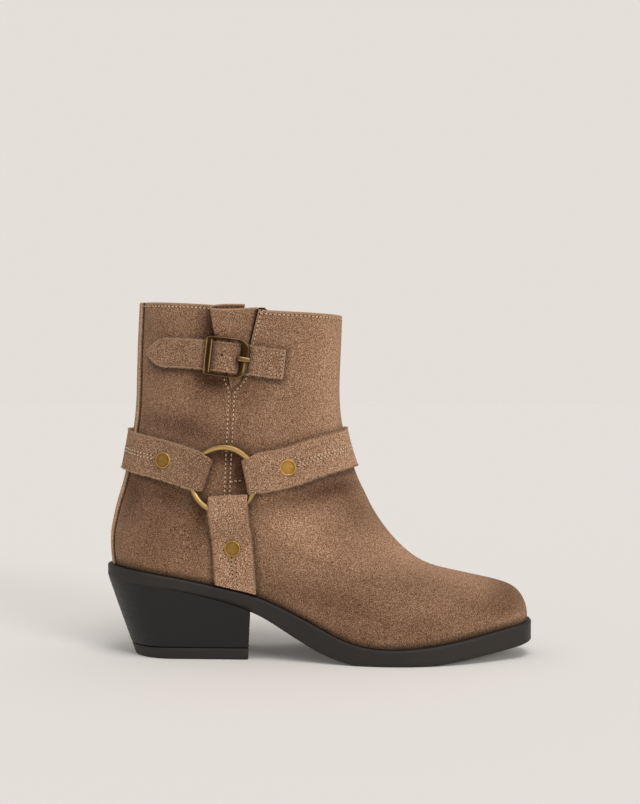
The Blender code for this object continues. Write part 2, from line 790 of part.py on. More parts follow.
def make_rivet(name, route, path, a):
    """Flat cap with a raised rim, lying on a strap's outer face."""
    loops = []
    for row in RIVET_ROWS:
        radius = RIVET_RADIUS * row.radius
        loop = []
        for i in range(RIVET_SIDES):
            turn = 2.0 * pi * i / RIVET_SIDES
            place = a + radius * cos(turn)
            out = face_height(path, place) + GAP + RIVET_HEIGHT * row.height
            loop.append(route.place(place, radius * sin(turn), out))
        loops.append(loop)
    points, faces = skin_loops(loops)
    return make_object(name, points, faces, "brass")


def distance_at_angle(route, angle):
    offsets = [abs(shaft_angle(point) - angle) for point in route.points]
    return float(route.along[int(np.argmin(offsets))])


def make_harness(reference):
    reach = 13.0
    anchor = side_point(reference, RING_X, RING_Z)
    route = shaft_route(reference, HARNESS_ROUTE)
    lower = side_route(reference, LOWER_TOP, LOWER_FOOT)
    axis = unit(np.cross(
        side_point(reference, RING_X + reach, RING_Z) - side_point(reference, RING_X - reach, RING_Z),
        side_point(reference, RING_X, RING_Z + reach) - side_point(reference, RING_X, RING_Z - reach),
    ))
    ring_frame = (anchor + axis * RING_LIFT, axis)
    make_ring(ring_frame, "harness_ring", RING_WIRE, "brass")
    channel = make_ring(ring_frame, "ring_channel", RING_WIRE + GAP, None)

    path = harness_path(route, ring_frame)
    strap = make_band("harness_strap", route, path, lambda a: STRAP_HALF, "strap_suede")
    cut(strap, channel)
    make_rivet("rivet_front", route, path, distance_at_angle(route, RIVET_FRONT_ANGLE))
    make_rivet("rivet_back", route, path, distance_at_angle(route, RIVET_BACK_ANGLE))

    path = fold_path(wire_height(lower, ring_frame, 2.0 * FOLD_REACH))
    lying = STRAP_LIFT + 0.5 * STRAP_THICK
    foot = lower.length + LOWER_REST
    for a in np.linspace(LOWER_LIE, foot, 5):
        path.append(PathRow(a, lying, STRAP_THICK, 1.0))

    def slant(a):
        return LOWER_SKEW * float(np.clip((a - FOLD_END) / (foot - FOLD_END), 0.0, 1.0))

    strap = make_band("lower_strap", lower, path, lambda a: LOWER_HALF, "strap_suede", skew=slant)
    cut(strap, channel)
    heights = lower.points[:, 2]
    make_rivet("rivet_lower", lower, path, float(lower.along[int(np.argmin(abs(heights - LOWER_RIVET_Z)))]))


def make_back_stay():
    """Strip over the back seam, from the collar down to the sole."""
    wide = 0.8
    fan = np.linspace(-wide, wide, 81)
    loops = []
    for level in range(STAY_LEVELS):
        v = level / (STAY_LEVELS - 1)
        line = last_ring(v, fan)
        steps = np.linalg.norm(np.diff(line, axis=0), axis=1)
        reach = np.concatenate(((0.0,), np.cumsum(steps)))
        reach = reach - np.interp(0.0, fan, reach)
        theta = np.interp(np.linspace(-STAY_HALF, STAY_HALF, STAY_STRIPS + 1), reach, fan)
        face = last_ring(v, theta)
        normals = last_normals(v, theta, level in (0, STAY_LEVELS - 1))
        inner = face + GAP * normals
        outer = inner + STAY_THICK * normals
        loops.append(list(outer) + list(inner[::-1]))
    points, faces = skin_loops(loops)
    return make_object("back_stay", points, faces, "suede")


def pleat_depth(share):
    """Depth of the folds at a share of the insert's height, from flat to full."""
    grown = float(np.clip((share - PLEAT_FROM) / PLEAT_GROWTH, 0.0, 1.0))
    return grown * grown * (3.0 - 2.0 * grown)


def pleat_row(depth):
    """The pleat's places across the notch, tucks, heights and rises where its folds have a depth."""
    rows = np.arange(len(PLEAT_ROWS))
    reads = np.linspace(0, len(PLEAT_ROWS) - 1, PLEAT_POINTS)
    across, tuck, out, rise = (smooth(rows, column(PLEAT_ROWS, name), reads) for name in PleatRow._fields)
    flat = np.clip((reads - 1.0) / (len(PLEAT_ROWS) - 3.0), 0.0, 1.0)
    across = flat + (across - flat) * depth
    out = out[0] + (out - out[0]) * depth ** PLEAT_STAND
    return across, tuck, out, rise * depth ** 3


def make_gusset(reference):
    """Pleated insert behind the notch, from below its point up to the collar."""
    top = notch_top()
    bottom = NOTCH_ROWS[0].z - PLEAT_BELOW
    loops = []
    for share in np.linspace(0.0, 1.0, PLEAT_LEVELS):
        z = bottom + share * (top - bottom)
        front = float(notch_edge("front", z))
        rear = float(notch_edge("rear", z))
        read_z = min(z, top - COLLAR_MARGIN)
        depth = pleat_depth(share)
        line = []
        for across, tuck, out, rise in zip(*pleat_row(depth)):
            x = front + across * (rear - front) + tuck
            base = side_point(reference, x, read_z)
            outward = unit(np.cross(side_slope(reference, x, read_z), (0.0, 0.0, 1.0)))
            line.append(base + outward * out + np.array((0.0, 0.0, z - read_z + PLEAT_RISE * rise)))
        line = np.array(line)
        runs = np.gradient(line, axis=0)
        runs[:, 2] = 0.0
        normals = unit(np.cross(unit(runs), (0.0, 0.0, 1.0)))
        half = 0.5 * PLEAT_THICK * (PLEAT_SKIVED + (1.0 - PLEAT_SKIVED) * depth)
        outer = line + half * normals
        inner = line - half * normals
        loops.append(list(outer) + list(inner[::-1]))
    points, faces = skin_loops(loops)
    return make_object("gusset", points, faces, "strap_suede")


def notch_top():
    """Height of the collar's rim over the notch's point, on the outer side."""
    rim = last_ring(1.0, np.linspace(0.2 * pi, 0.8 * pi, 60))
    return float(np.interp(NOTCH_ROWS[0].front, rim[:, 0], rim[:, 2]))


def buckle_lift(along):
    return float(smooth(column(BUCKLE_LIFTS, "along"), column(BUCKLE_LIFTS, "out"), along))


def make_buckle(reference):
    """Strap with a pointed tip, threaded through a frame, and the frame's prong."""
    route = shaft_route(reference, BUCKLE_ROUTE)
    middle = distance_at_buckle(route)
    near_end = 17.0
    sewn_from = 28.0
    near = [row.along for row in BUCKLE_LIFTS if abs(row.along) < near_end - FRAME_RAIL]
    tail = np.linspace(-middle, -near_end, 8)
    ramp = np.linspace(near_end, sewn_from, 3)
    path = []
    for along in (*tail, *near, *ramp, route.length - middle):
        path.append(PathRow(middle + along, buckle_lift(along), BUCKLE_STRAP_THICK, 1.0))
    path = tip_rows(path)

    def half(a):
        left = max(0.0, 1.0 - a / BUCKLE_TIP_LENGTH)
        return BUCKLE_STRAP_HALF * max(BUCKLE_TIP_SHARE, 1.0 - left ** 2.0)

    strap = make_band("buckle_strap", route, path, half, "strap_suede")
    cut(strap, make_hole_cutter(route, middle))
    frame = make_frame(route, middle)
    cut(frame, make_centre_bar(route, middle), "UNION")
    prong = [PathRow(middle + row.along, row.out, PRONG_THICK, 0.0) for row in PRONG_ROWS]
    make_flat_bar("buckle_prong", route, prong)


def distance_at_buckle(route):
    angles = [degrees(atan2(point[1] - SHAFT_Y, point[0] - SHAFT_X)) for point in route.points]
    return float(np.interp(BUCKLE_ANGLE, angles, route.along))


def tip_rows(path):
    """The path with closer rows along the strap's pointed tip."""
    first = path[0]
    extra = [first._replace(a=BUCKLE_TIP_LENGTH * share) for share in TIP_SHARES]
    return [first] + extra + [row for row in path[1:] if row.a > BUCKLE_TIP_LENGTH + 2.0]


def make_flat_bar(name, route, path):
    loops = []
    for i, row in enumerate(path):
        before = path[max(i - 1, 0)]
        after = path[min(i + 1, len(path) - 1)]
        step = np.array((after.a - before.a, after.out - before.out))
        step = step / np.linalg.norm(step)
        _, run, normal, _ = route.frame(row.a)
        face = 0.5 * row.thick * (normal * step[0] - run * step[1])
        left = route.place(row.a, -PRONG_HALF, row.out)
        right = route.place(row.a, PRONG_HALF, row.out)
        loops.append([left + face, right + face, right - face, left - face])
    points, faces = skin_loops(loops)
    return make_object(name, points, faces, "brass")


def make_hole_cutter(route, middle):
    half_run = 0.5 * PRONG_THICK + HOLE_CLEAR
    half_side = PRONG_HALF + HOLE_CLEAR
    corners = ((-half_run, -half_side), (half_run, -half_side), (half_run, half_side), (-half_run, half_side))
    loops = []
    below = 2.0
    above = 9.0
    for out in (below, above):
        loops.append([route.place(middle + HOLE_AT + a, h, out) for a, h in corners])
    points, faces = skin_loops(loops)
    return make_object("hole_cutter", points, faces, None)


def frame_outline(low, high, half, edge):
    """Rounded box in the strap's plane: its ends along the strap, half height and corner radii."""
    corners = (
        (high - edge.right, half - edge.right, edge.right, 0.0),
        (low + edge.left, half - edge.left, edge.left, 90.0),
        (low + edge.left, -half + edge.left, edge.left, 180.0),
        (high - edge.right, -half + edge.right, edge.right, 270.0),
    )
    outline = []
    for along, across, radius, start in corners:
        for step in range(CORNER_STEPS + 1):
            turn = radians(start + 90.0 * step / CORNER_STEPS)
            outline.append((along + radius * cos(turn), across + radius * sin(turn)))
    return outline


def make_frame(route, middle):
    """Arched frame with a wide left bar, a right bar and two thin rails."""
    outer = frame_outline(LEFT_BAR[0], RIGHT_BAR[1], FRAME_HALF_HEIGHT, FRAME_OUTER)
    window = frame_outline(LEFT_BAR[1], RIGHT_BAR[0], FRAME_HALF_HEIGHT - FRAME_RAIL, FRAME_WINDOW)

    def ring(outline, grow, out):
        loop = []
        for along, across in outline:
            arch = FRAME_ARCH * (1.0 - (along / RIGHT_BAR[1]) ** 2)
            place = along * (1.0 + grow / RIGHT_BAR[1])
            loop.append(route.place(middle + place, across * (1.0 + grow / FRAME_HALF_HEIGHT), out + arch))
        return loop

    top = FRAME_LIFT + FRAME_THICK
    loops = (
        ring(outer, 0.0, FRAME_LIFT),
        ring(outer, 0.0, top - FRAME_CHAMFER),
        ring(outer, -FRAME_CHAMFER, top),
        ring(window, FRAME_CHAMFER, top),
        ring(window, 0.0, top - FRAME_CHAMFER),
        ring(window, 0.0, FRAME_LIFT),
    )
    points, faces = skin_loops(loops, closed=True)
    return make_object("buckle_frame", points, faces, "brass")


def make_centre_bar(route, middle):
    """Bar behind the strap that joins the frame's two rails."""
    end = FRAME_HALF_HEIGHT - 0.5 * FRAME_RAIL
    bend = BUCKLE_STRAP_HALF + 2.0 * GAP
    rail = FRAME_LIFT + FRAME_ARCH + 0.5 * FRAME_THICK
    stops = ((-end, rail), (-bend, CENTRE_BAR_LIFT), (bend, CENTRE_BAR_LIFT), (end, rail))
    loops = []
    for across, lift in stops:
        loop = []
        for i in range(WIRE_SIDES):
            turn = 2.0 * pi * i / WIRE_SIDES
            along = CENTRE_BAR_RADIUS * cos(turn)
            out = lift + CENTRE_BAR_RADIUS * sin(turn)
            loop.append(route.place(middle + along, across, out))
        loops.append(loop)
    points, faces = skin_loops(loops)
    return make_object("centre_bar", points, faces, None)


def main():
    for old in list(bpy.data.objects):
        bpy.data.objects.remove(old, do_unlink=True)
    reference = make_reference()
    make_outsole()
    make_heel()
    make_insole()
    make_upper()
    make_gusset(reference)
    make_back_stay()
    make_harness(reference)
    make_buckle(reference)


main()
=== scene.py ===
import math

import bmesh
import bpy
import numpy as np
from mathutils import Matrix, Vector
from mathutils.bvhtree import BVHTree


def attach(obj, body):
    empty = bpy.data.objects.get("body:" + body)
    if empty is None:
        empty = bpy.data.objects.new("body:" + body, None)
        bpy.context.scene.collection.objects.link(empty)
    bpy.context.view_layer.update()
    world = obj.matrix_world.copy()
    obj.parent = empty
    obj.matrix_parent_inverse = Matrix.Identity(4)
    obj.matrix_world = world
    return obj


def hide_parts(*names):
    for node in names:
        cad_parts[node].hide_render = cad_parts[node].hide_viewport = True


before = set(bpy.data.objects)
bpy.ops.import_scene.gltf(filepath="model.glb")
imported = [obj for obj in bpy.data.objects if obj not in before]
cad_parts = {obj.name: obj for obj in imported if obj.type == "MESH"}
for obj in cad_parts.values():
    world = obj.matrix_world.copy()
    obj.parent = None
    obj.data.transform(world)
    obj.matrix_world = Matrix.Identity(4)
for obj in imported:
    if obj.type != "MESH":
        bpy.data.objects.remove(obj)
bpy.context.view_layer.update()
mm = 0.001
print("frame loaded with", len(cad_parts), "nodes")

# The last that everything lies on. Sizes are in millimetres: +X toe, -Y outer side, +Z up

soleForm = {
    "back": -54.0,
    "tip": 215.0,
    "columns": ("x", "seat", "tread"),
    "rows": (
        (-54, 57.2, 49.4), (-26, 54.0, 46.0), (17, 45.4, 37.0), (41, 39.4, 29.0), (67, 28.3, 14.2),
        (81, 21.4, 6.6), (93, 15.6, 2.2), (104, 12.0, 0.0), (127, 9.9, 0.0), (146, 11.2, 0.0),
        (165, 13.8, 1.9), (186, 17.6, 4.8), (208, 21.4, 8.3), (215, 22.4, 9.6),
    ),
    # the outline has the columns of lastForm
    "outline": (-54.0, 57.2, 215.0, 22.4, 1.0, 34.4, 32.6, 48.0, 37.2, 17.0, 36, 12, 2.7),
}

lastForm = {
    "stations": (0.0, 0.13, 0.40, 0.66, 0.86, 1.0),
    "swingAt": (0.0, 0.13, 0.40, 0.66, 1.0),
    "swing": (0.0, 0.0, -3.8, -6.0, -4.4),
    "shaftSwing": 0.2,
    "columns": ("backX", "backZ", "frontX", "frontZ", "sag", "heel", "waist", "ball", "toe", "tip",
                "backLen", "noseLen", "nosePower"),
    "rows": (
        (-49.4, 57.5, 212.6, 22.4, 1.00, 31.6, 29.6, 45.2, 33.0, 16.5, 33, 15, 2.6),
        (-50.3, 66.0, 212.4, 28.0, 0.93, 32.4, 31.0, 46.0, 33.4, 17.5, 33, 17, 2.5),
        (-50.4, 76.0, 210.6, 34.5, 0.80, 32.6, 32.0, 45.6, 32.6, 19.0, 34, 22, 2.3),
        (-49.2, 84.0, 205.8, 41.0, 0.68, 32.4, 32.6, 43.0, 33.0, 24.0, 35, 48, 2.0),
        (-47.4, 92.5, 194.0, 46.2, 0.50, 32.0, 33.2, 39.5, 36.0, 32.0, 36, 84, 1.85),
        (-45.0, 101.0, 169.0, 51.4, 0.32, 31.8, 33.8, 39.0, 38.0, 36.0, 37, 92, 1.85),
        (-42.4, 110.0, 147.0, 58.2, 0.18, 31.6, 34.2, 38.5, 38.0, 37.0, 38, 94, 1.9),
        (-40.2, 120.0, 129.0, 72.4, 0.08, 31.6, 34.4, 37.6, 37.0, 36.0, 40, 92, 1.95),
        (-37.8, 133.0, 114.4, 92.6, 0.03, 31.8, 34.6, 36.6, 36.0, 35.0, 42, 84, 2.0),
        (-35.6, 147.0, 104.0, 115.0, 0.01, 32.4, 35.2, 36.4, 36.0, 35.0, 44, 76, 2.05),
        (-34.4, 161.0, 97.2, 137.0, 0.02, 33.2, 36.0, 36.6, 36.0, 35.0, 47, 70, 2.1),
        (-34.0, 176.0, 94.2, 156.0, 0.04, 34.0, 36.8, 37.0, 36.5, 35.5, 50, 66, 2.1),
        (-33.6, 191.0, 93.9, 175.0, 0.05, 34.6, 37.4, 37.4, 37.0, 36.0, 52, 64, 2.15),
        (-33.0, 206.5, 94.8, 195.0, 0.06, 35.0, 37.8, 37.8, 37.5, 36.5, 53, 62, 2.2),
        (-32.2, 222.0, 95.4, 213.8, 0.06, 35.4, 38.2, 38.2, 38.0, 37.0, 54, 60, 2.2),
    ),
    "rings": 190,      # fineness of the face that straps are laid on
    "points": 460,
}


def column(table, name):
    place = table["columns"].index(name)
    return np.array([row[place] for row in table["rows"]], float)


def steady(xs, ys, x):  # smooth curve that never swings past its points
    xs = np.asarray(xs, float)
    ys = np.asarray(ys, float)
    rates = np.diff(ys) / np.diff(xs)
    bends = np.zeros(len(xs))
    bends[0] = rates[0]
    bends[-1] = rates[-1]
    for i in range(1, len(xs) - 1):
        if rates[i - 1] * rates[i] > 0.0:
            bends[i] = 2.0 * rates[i - 1] * rates[i] / (rates[i - 1] + rates[i])
    x = np.clip(x, xs[0], xs[-1])
    low = np.clip(np.searchsorted(xs, x, side="right") - 1, 0, len(xs) - 2)
    width = xs[low + 1] - xs[low]
    u = (x - xs[low]) / width
    start = (1 + 2 * u) * (1 - u) ** 2 * ys[low] + u * (1 - u) ** 2 * width * bends[low]
    end = u * u * (3 - 2 * u) * ys[low + 1] - u * u * (1 - u) * width * bends[low + 1]
    return start + end


def flowing(xs, ys, x):  # curve whose bend changes evenly
    xs = np.asarray(xs, float)
    ys = np.asarray(ys, float)
    steps = np.diff(xs)
    rates = np.diff(ys) / steps
    system = np.eye(len(xs))
    pull = np.zeros(len(xs))
    for i in range(1, len(xs) - 1):
        system[i, i - 1] = steps[i - 1]
        system[i, i] = 2.0 * (steps[i - 1] + steps[i])
        system[i, i + 1] = steps[i]
        pull[i] = 6.0 * (rates[i] - rates[i - 1])
    bends = np.linalg.solve(system, pull)
    x = np.clip(x, xs[0], xs[-1])
    low = np.clip(np.searchsorted(xs, x, side="right") - 1, 0, len(xs) - 2)
    left = (xs[low + 1] - x) / steps[low]
    right = 1.0 - left
    bow = (left ** 3 - left) * bends[low] + (right ** 3 - right) * bends[low + 1]
    return left * ys[low] + right * ys[low + 1] + bow * steps[low] ** 2 / 6.0


def easeIn(x, low, high):  # 0 below low, 1 above high
    u = np.clip((x - low) / (high - low), 0.0, 1.0)
    return u * u * (3.0 - 2.0 * u)


def easeOut(x, low, high):  # 1 below low, 0 above high
    return easeIn(-x, -high, -low)


def bell(x, middle, width):
    return np.exp(-((x - middle) / width) ** 2)


def unit(vectors):
    return vectors / np.maximum(np.linalg.norm(vectors, axis=-1, keepdims=True), 1e-9)


def fullTurn(count):
    return 2.0 * math.pi * np.arange(count) / count


def reachOf(points):  # distance along a line from its first point
    steps = np.linalg.norm(np.diff(points, axis=0), axis=1)
    return np.concatenate(((0.0,), np.cumsum(steps)))


def readAlong(at, reach, values):  # points or directions at a distance along a line
    return np.stack([np.interp(at, reach, values[:, i]) for i in range(3)], axis=-1)


def seatHeight(x):
    return flowing(column(soleForm, "x"), column(soleForm, "seat"), x)


def treadHeight(x):
    return steady(column(soleForm, "x"), column(soleForm, "tread"), x)


def roundedEnd(distance, length, power):
    left = np.clip(1.0 - distance / length, 0.0, 1.0)
    return (1.0 - left ** power) ** (1.0 / power)


def halfWidth(section, along):
    length = section["frontX"] - section["backX"]
    widths = [section[name] for name in ("heel", "heel", "waist", "ball", "toe", "tip")]
    half = flowing(lastForm["stations"], widths, along)
    half = half * roundedEnd(along * length, section["backLen"], 2.0)
    return half * roundedEnd((1.0 - along) * length, section["noseLen"], section["nosePower"])


def middleLine(along):
    return flowing(lastForm["swingAt"], lastForm["swing"], along)


def seatSag(along):
    back = lastForm["rows"][0][0]
    front = lastForm["rows"][0][2]
    straight = seatHeight(back) + along * (seatHeight(front) - seatHeight(back))
    return seatHeight(back + along * (front - back)) - straight


def sectionAt(v):
    index = np.arange(len(lastForm["rows"]))
    place = v * index[-1]
    return {name: float(flowing(index, column(lastForm, name), place)) for name in lastForm["columns"]}


soleOutline = dict(zip(lastForm["columns"], soleForm["outline"]))


def lastRing(v, theta):  # theta runs from the back by the outer side to the front and on
    section = sectionAt(v)
    along = 0.5 * (1.0 - np.cos(theta))
    x = section["backX"] + along * (section["frontX"] - section["backX"])
    level = section["backZ"] + along * (section["frontZ"] - section["backZ"])
    z = level + section["sag"] * seatSag(along)
    swing = 1.0 - (1.0 - lastForm["shaftSwing"]) * v * v * (3.0 - 2.0 * v)
    y = swing * middleLine(along) - np.sign(np.sin(theta)) * halfWidth(section, along)
    return np.stack((x, y, z), axis=-1)


def lastRun(v, theta, turn=0.03):  # which way a ring runs
    return lastRing(v, theta + turn) - lastRing(v, theta - turn)


def gridFaces(rows, count, wrap=False):
    r = np.arange(rows - 1)[:, None]
    c = np.arange(count if wrap else count - 1)[None, :]
    a = r * count + c
    b = r * count + (c + 1) % count
    return np.stack((a, b, b + count, a + count), axis=-1).reshape(-1, 4).tolist()


lastTheta = fullTurn(lastForm["points"])
lastGrid = np.array([lastRing(v, lastTheta) for v in np.linspace(0.0, 1.0, lastForm["rings"])])
lastFace = BVHTree.FromPolygons(
    lastGrid.reshape(-1, 3).tolist(), gridFaces(lastForm["rings"], lastForm["points"], wrap=True)
)
print("last shaped")


# Shader node helpers and the shared effects

def colourOf(red, green, blue):  # from screen values 0 to 255
    shares = np.array((red, green, blue)) / 255.0
    linear = np.where(shares < 0.04045, shares / 12.92, ((shares + 0.055) / 1.055) ** 2.4)
    return (*linear.tolist(), 1.0)


def feed(tree, node, inputs):  # links sockets and sets plain values
    for name, value in inputs.items():
        if isinstance(value, bpy.types.NodeSocket):
            tree.links.new(value, node.inputs[name])
        else:
            node.inputs[name].default_value = value


def addNode(tree, kind, inputs=None, **settings):
    node = tree.nodes.new(kind)
    for name, value in settings.items():
        setattr(node, name, value)
    feed(tree, node, inputs or {})
    return node


def mathNode(tree, operation, first, second=0.0, third=0.0, clamp=False):
    inputs = {0: first, 1: second, 2: third}
    return addNode(tree, "ShaderNodeMath", inputs, operation=operation, use_clamp=clamp).outputs[0]


def scaled(tree, value, share):
    return mathNode(tree, "MULTIPLY", value, share)


def centred(tree, value, share):
    return scaled(tree, mathNode(tree, "SUBTRACT", value, 0.5), share)


def mixColours(tree, share, first, second, blend="MIX"):
    inputs = {0: share, 6: first, 7: second}  # 6 and 7 are the colours
    return addNode(tree, "ShaderNodeMix", inputs, data_type="RGBA", blend_type=blend).outputs[2]


def noiseAt(tree, vector, size, detail, roughness):  # size in millimetres
    scale = mathNode(tree, "DIVIDE", 1.0, size)
    inputs = {"Vector": vector, "Scale": scale, "Detail": detail, "Roughness": roughness}
    return addNode(tree, "ShaderNodeTexNoise", inputs).outputs[0]


def millimetres(tree):
    place = addNode(tree, "ShaderNodeTexCoord").outputs["Object"]
    inputs = {0: place, "Scale": 1.0 / mm}
    return addNode(tree, "ShaderNodeVectorMath", inputs, operation="SCALE").outputs[0]


def attributeMask(tree, name):
    return addNode(tree, "ShaderNodeAttribute", attribute_name=name).outputs["Fac"]


def newGroup(name, inputs, outputs):
    tree = bpy.data.node_groups.new(name, "ShaderNodeTree")
    kinds = {"colour": "NodeSocketColor", "value": "NodeSocketFloat"}
    for label, kind in inputs:
        tree.interface.new_socket(name=label, in_out="INPUT", socket_type=kinds[kind])
    for label, kind in outputs:
        tree.interface.new_socket(name=label, in_out="OUTPUT", socket_type=kinds[kind])
    return tree, tree.nodes.new("NodeGroupInput").outputs, tree.nodes.new("NodeGroupOutput").inputs


napForm = {
    "stretch": (1.0, 1.0, 0.75),   # the fibres are longer upright
    "blotchSize": 0.22,            # shares of the patches' size and strength
    "blotches": 0.3,
    "fibreSize": 0.6,              # share of the grain's size
    "deepest": -0.72,              # the darkest speck
    "rough": (0.82, 0.3),          # the least, and what the fibres add
    "grainHeight": 0.6,
    "fibreHeight": 0.4,
    # detail and roughness of each noise
    "patchNoise": (4.0, 0.62),
    "blotchNoise": (3.0, 0.6),
    "grainNoise": (1.0, 0.6),
    "fibreNoise": (2.0, 0.6),
}


def makeSuedeNap():  # brushed patches, short fibres and fine grain, with the painted shade and painted highlights of the mask "tone"
    tree, given, put = newGroup(
        "suedeNap",
        (("Dark", "colour"), ("Light", "colour"), ("Patch Size", "value"), ("Patches", "value"),
         ("Grain Size", "value"), ("Grain", "value"), ("Tips", "colour"), ("Tone And Light", "value")),
        (("Color", "colour"), ("Roughness", "value"), ("Height", "value")),
    )
    place = millimetres(tree)
    stretched = addNode(tree, "ShaderNodeMapping", {"Vector": place, "Scale": napForm["stretch"]})
    blotchSize = scaled(tree, given["Patch Size"], napForm["blotchSize"])
    fibreSize = scaled(tree, given["Grain Size"], napForm["fibreSize"])
    patch = noiseAt(tree, place, given["Patch Size"], *napForm["patchNoise"])
    blotch = noiseAt(tree, place, blotchSize, *napForm["blotchNoise"])
    grain = noiseAt(tree, place, given["Grain Size"], *napForm["grainNoise"])
    fibre = noiseAt(tree, stretched.outputs[0], fibreSize, *napForm["fibreNoise"])
    blotches = scaled(tree, given["Patches"], napForm["blotches"])
    # the mask "tone" holds painted shade and painted highlights besides nap tone
    lie = scaled(tree, attributeMask(tree, "tone"), given["Tone And Light"])
    tone = mathNode(tree, "ADD", 0.5, centred(tree, patch, given["Patches"]))
    tone = mathNode(tree, "ADD", tone, centred(tree, blotch, blotches))
    tone = mathNode(tree, "ADD", tone, lie, clamp=True)
    colour = mixColours(tree, tone, given["Dark"], given["Light"])
    coarse = centred(tree, grain, given["Grain"])
    fine = centred(tree, fibre, given["Grain"])
    specks = mathNode(tree, "MAXIMUM", mathNode(tree, "ADD", coarse, fine), napForm["deepest"])
    tips = mixColours(tree, 1.0, colour, given["Tips"], "MULTIPLY")  # less brown than the roots
    swing = mixColours(tree, 1.0, tips, specks, "MULTIPLY")
    least, more = napForm["rough"]
    grainHeight = scaled(tree, grain, napForm["grainHeight"])
    fibreHeight = scaled(tree, fibre, napForm["fibreHeight"])
    tree.links.new(mixColours(tree, 1.0, colour, swing, "ADD"), put["Color"])
    tree.links.new(mathNode(tree, "ADD", least, scaled(tree, fibre, more)), put["Roughness"])
    tree.links.new(mathNode(tree, "ADD", grainHeight, fibreHeight), put["Height"])
    return tree


edgeForm = {
    "size": 0.9,
    "noise": (3.0, 0.7),    # detail and roughness
    "least": 0.45,          # what the nap leaves of the edge at least
}


def makeCutEdge():  # pale raw edge where the piece carries the mask "edge", broken up by nap
    tree, given, put = newGroup(
        "cutEdge",
        (("Color", "colour"), ("Edge Color", "colour"), ("Amount", "value")),
        (("Color", "colour"),),
    )
    rough = noiseAt(tree, millimetres(tree), edgeForm["size"], *edgeForm["noise"])
    mask = scaled(tree, attributeMask(tree, "edge"), given["Amount"])
    mask = mathNode(tree, "MULTIPLY", mask, mathNode(tree, "ADD", edgeForm["least"], rough), clamp=True)
    tree.links.new(mixColours(tree, mask, given["Color"], given["Edge Color"]), put["Color"])
    return tree


def makeShadeMark():  # painted shade and painted shadows: darkens the colour where the piece carries the mask "shade"
    tree, given, put = newGroup(
        "shadeMark",
        (("Color", "colour"), ("Shade Color", "colour"), ("Amount", "value")),
        (("Color", "colour"),),
    )
    mask = mathNode(tree, "MULTIPLY", attributeMask(tree, "shade"), given["Amount"], clamp=True)
    tree.links.new(mixColours(tree, mask, given["Color"], given["Shade Color"]), put["Color"])
    return tree


grainForm = {
    "cloudSize": 26.0,          # times the grain's size
    "cloudNoise": (4.0, 0.6),   # detail and roughness
    "grainNoise": (2.0, 0.6),
    "clouds": 0.65,
    "grains": 0.35,
    "contrast": 2.2,
}


def makeFineGrain():  # moulded or woven fine grain
    tree, given, put = newGroup(
        "fineGrain",
        (("Dark", "colour"), ("Light", "colour"), ("Size", "value"), ("Rough Low", "value"),
         ("Rough High", "value")),
        (("Color", "colour"), ("Roughness", "value"), ("Height", "value")),
    )
    place = millimetres(tree)
    cloudSize = scaled(tree, given["Size"], grainForm["cloudSize"])
    cloud = noiseAt(tree, place, cloudSize, *grainForm["cloudNoise"])
    grain = noiseAt(tree, place, given["Size"], *grainForm["grainNoise"])
    clouds = scaled(tree, cloud, grainForm["clouds"])
    tone = mathNode(tree, "ADD", clouds, scaled(tree, grain, grainForm["grains"]))
    tone = mathNode(tree, "ADD", 0.5, centred(tree, tone, grainForm["contrast"]), clamp=True)
    tree.links.new(mixColours(tree, tone, given["Dark"], given["Light"]), put["Color"])
    spread = mathNode(tree, "SUBTRACT", given["Rough High"], given["Rough Low"])
    tree.links.new(mathNode(tree, "MULTIPLY_ADD", tone, spread, given["Rough Low"]), put["Roughness"])
    tree.links.new(grain, put["Height"])
    return tree


metalForm = {
    "cloudSize": 2.6,
    "cloudNoise": (4.0, 0.65),      # detail and roughness
    "scratch": (1.0, 1.0, 5.0),
    "scratchSize": 0.9,
    "scratchNoise": (2.0, 0.6),
    "scratches": 0.16,
    "rough": (-0.18, 0.5),          # change where it is bright, and the base
}


def makeAgedMetal():  # patina in the low places, bright where the piece's wear mask is high: worn rims, and painted highlights on the ring and the buckle's right bar
    tree, given, put = newGroup(
        "agedMetal",
        (("Bright", "colour"), ("Patina", "colour"), ("Wear And Highlight", "value"), ("Spots", "value")),
        (("Color", "colour"), ("Roughness", "value"), ("Height", "value")),
    )
    place = millimetres(tree)
    cloud = noiseAt(tree, place, metalForm["cloudSize"], *metalForm["cloudNoise"])
    scratch = addNode(tree, "ShaderNodeMapping", {"Vector": place, "Scale": metalForm["scratch"]})
    fine = noiseAt(tree, scratch.outputs[0], metalForm["scratchSize"], *metalForm["scratchNoise"])
    share = scaled(tree, attributeMask(tree, "wearAndHighlight"), given["Wear And Highlight"])
    share = mathNode(tree, "ADD", share, centred(tree, cloud, given["Spots"]))
    share = mathNode(tree, "ADD", share, centred(tree, fine, metalForm["scratches"]), clamp=True)
    tree.links.new(mixColours(tree, share, given["Patina"], given["Bright"]), put["Color"])
    tree.links.new(mathNode(tree, "MULTIPLY_ADD", share, *metalForm["rough"]), put["Roughness"])
    tree.links.new(fine, put["Height"])
    return tree


groups = {
    "nap": makeSuedeNap(),
    "edge": makeCutEdge(),
    "shade": makeShadeMark(),
    "grain": makeFineGrain(),
    "metal": makeAgedMetal(),
}


def newMaterial(name, fixed):
    material = bpy.data.materials.new(name)
    material.use_nodes = True
    tree = material.node_tree
    shader = tree.nodes["Principled BSDF"]
    feed(tree, shader, fixed)
    return material, tree, shader


def placeGroup(tree, kind, inputs):
    return addNode(tree, "ShaderNodeGroup", inputs, node_tree=groups[kind]).outputs


def linkLook(tree, shader, colour, surface, depth):  # depth of the relief in millimetres
    relief = {"Height": surface["Height"], "Strength": 1.0, "Distance": depth * mm}
    bump = addNode(tree, "ShaderNodeBump", relief)
    feed(tree, shader, {
        "Base Color": colour, "Roughness": surface["Roughness"], "Normal": bump.outputs["Normal"]})


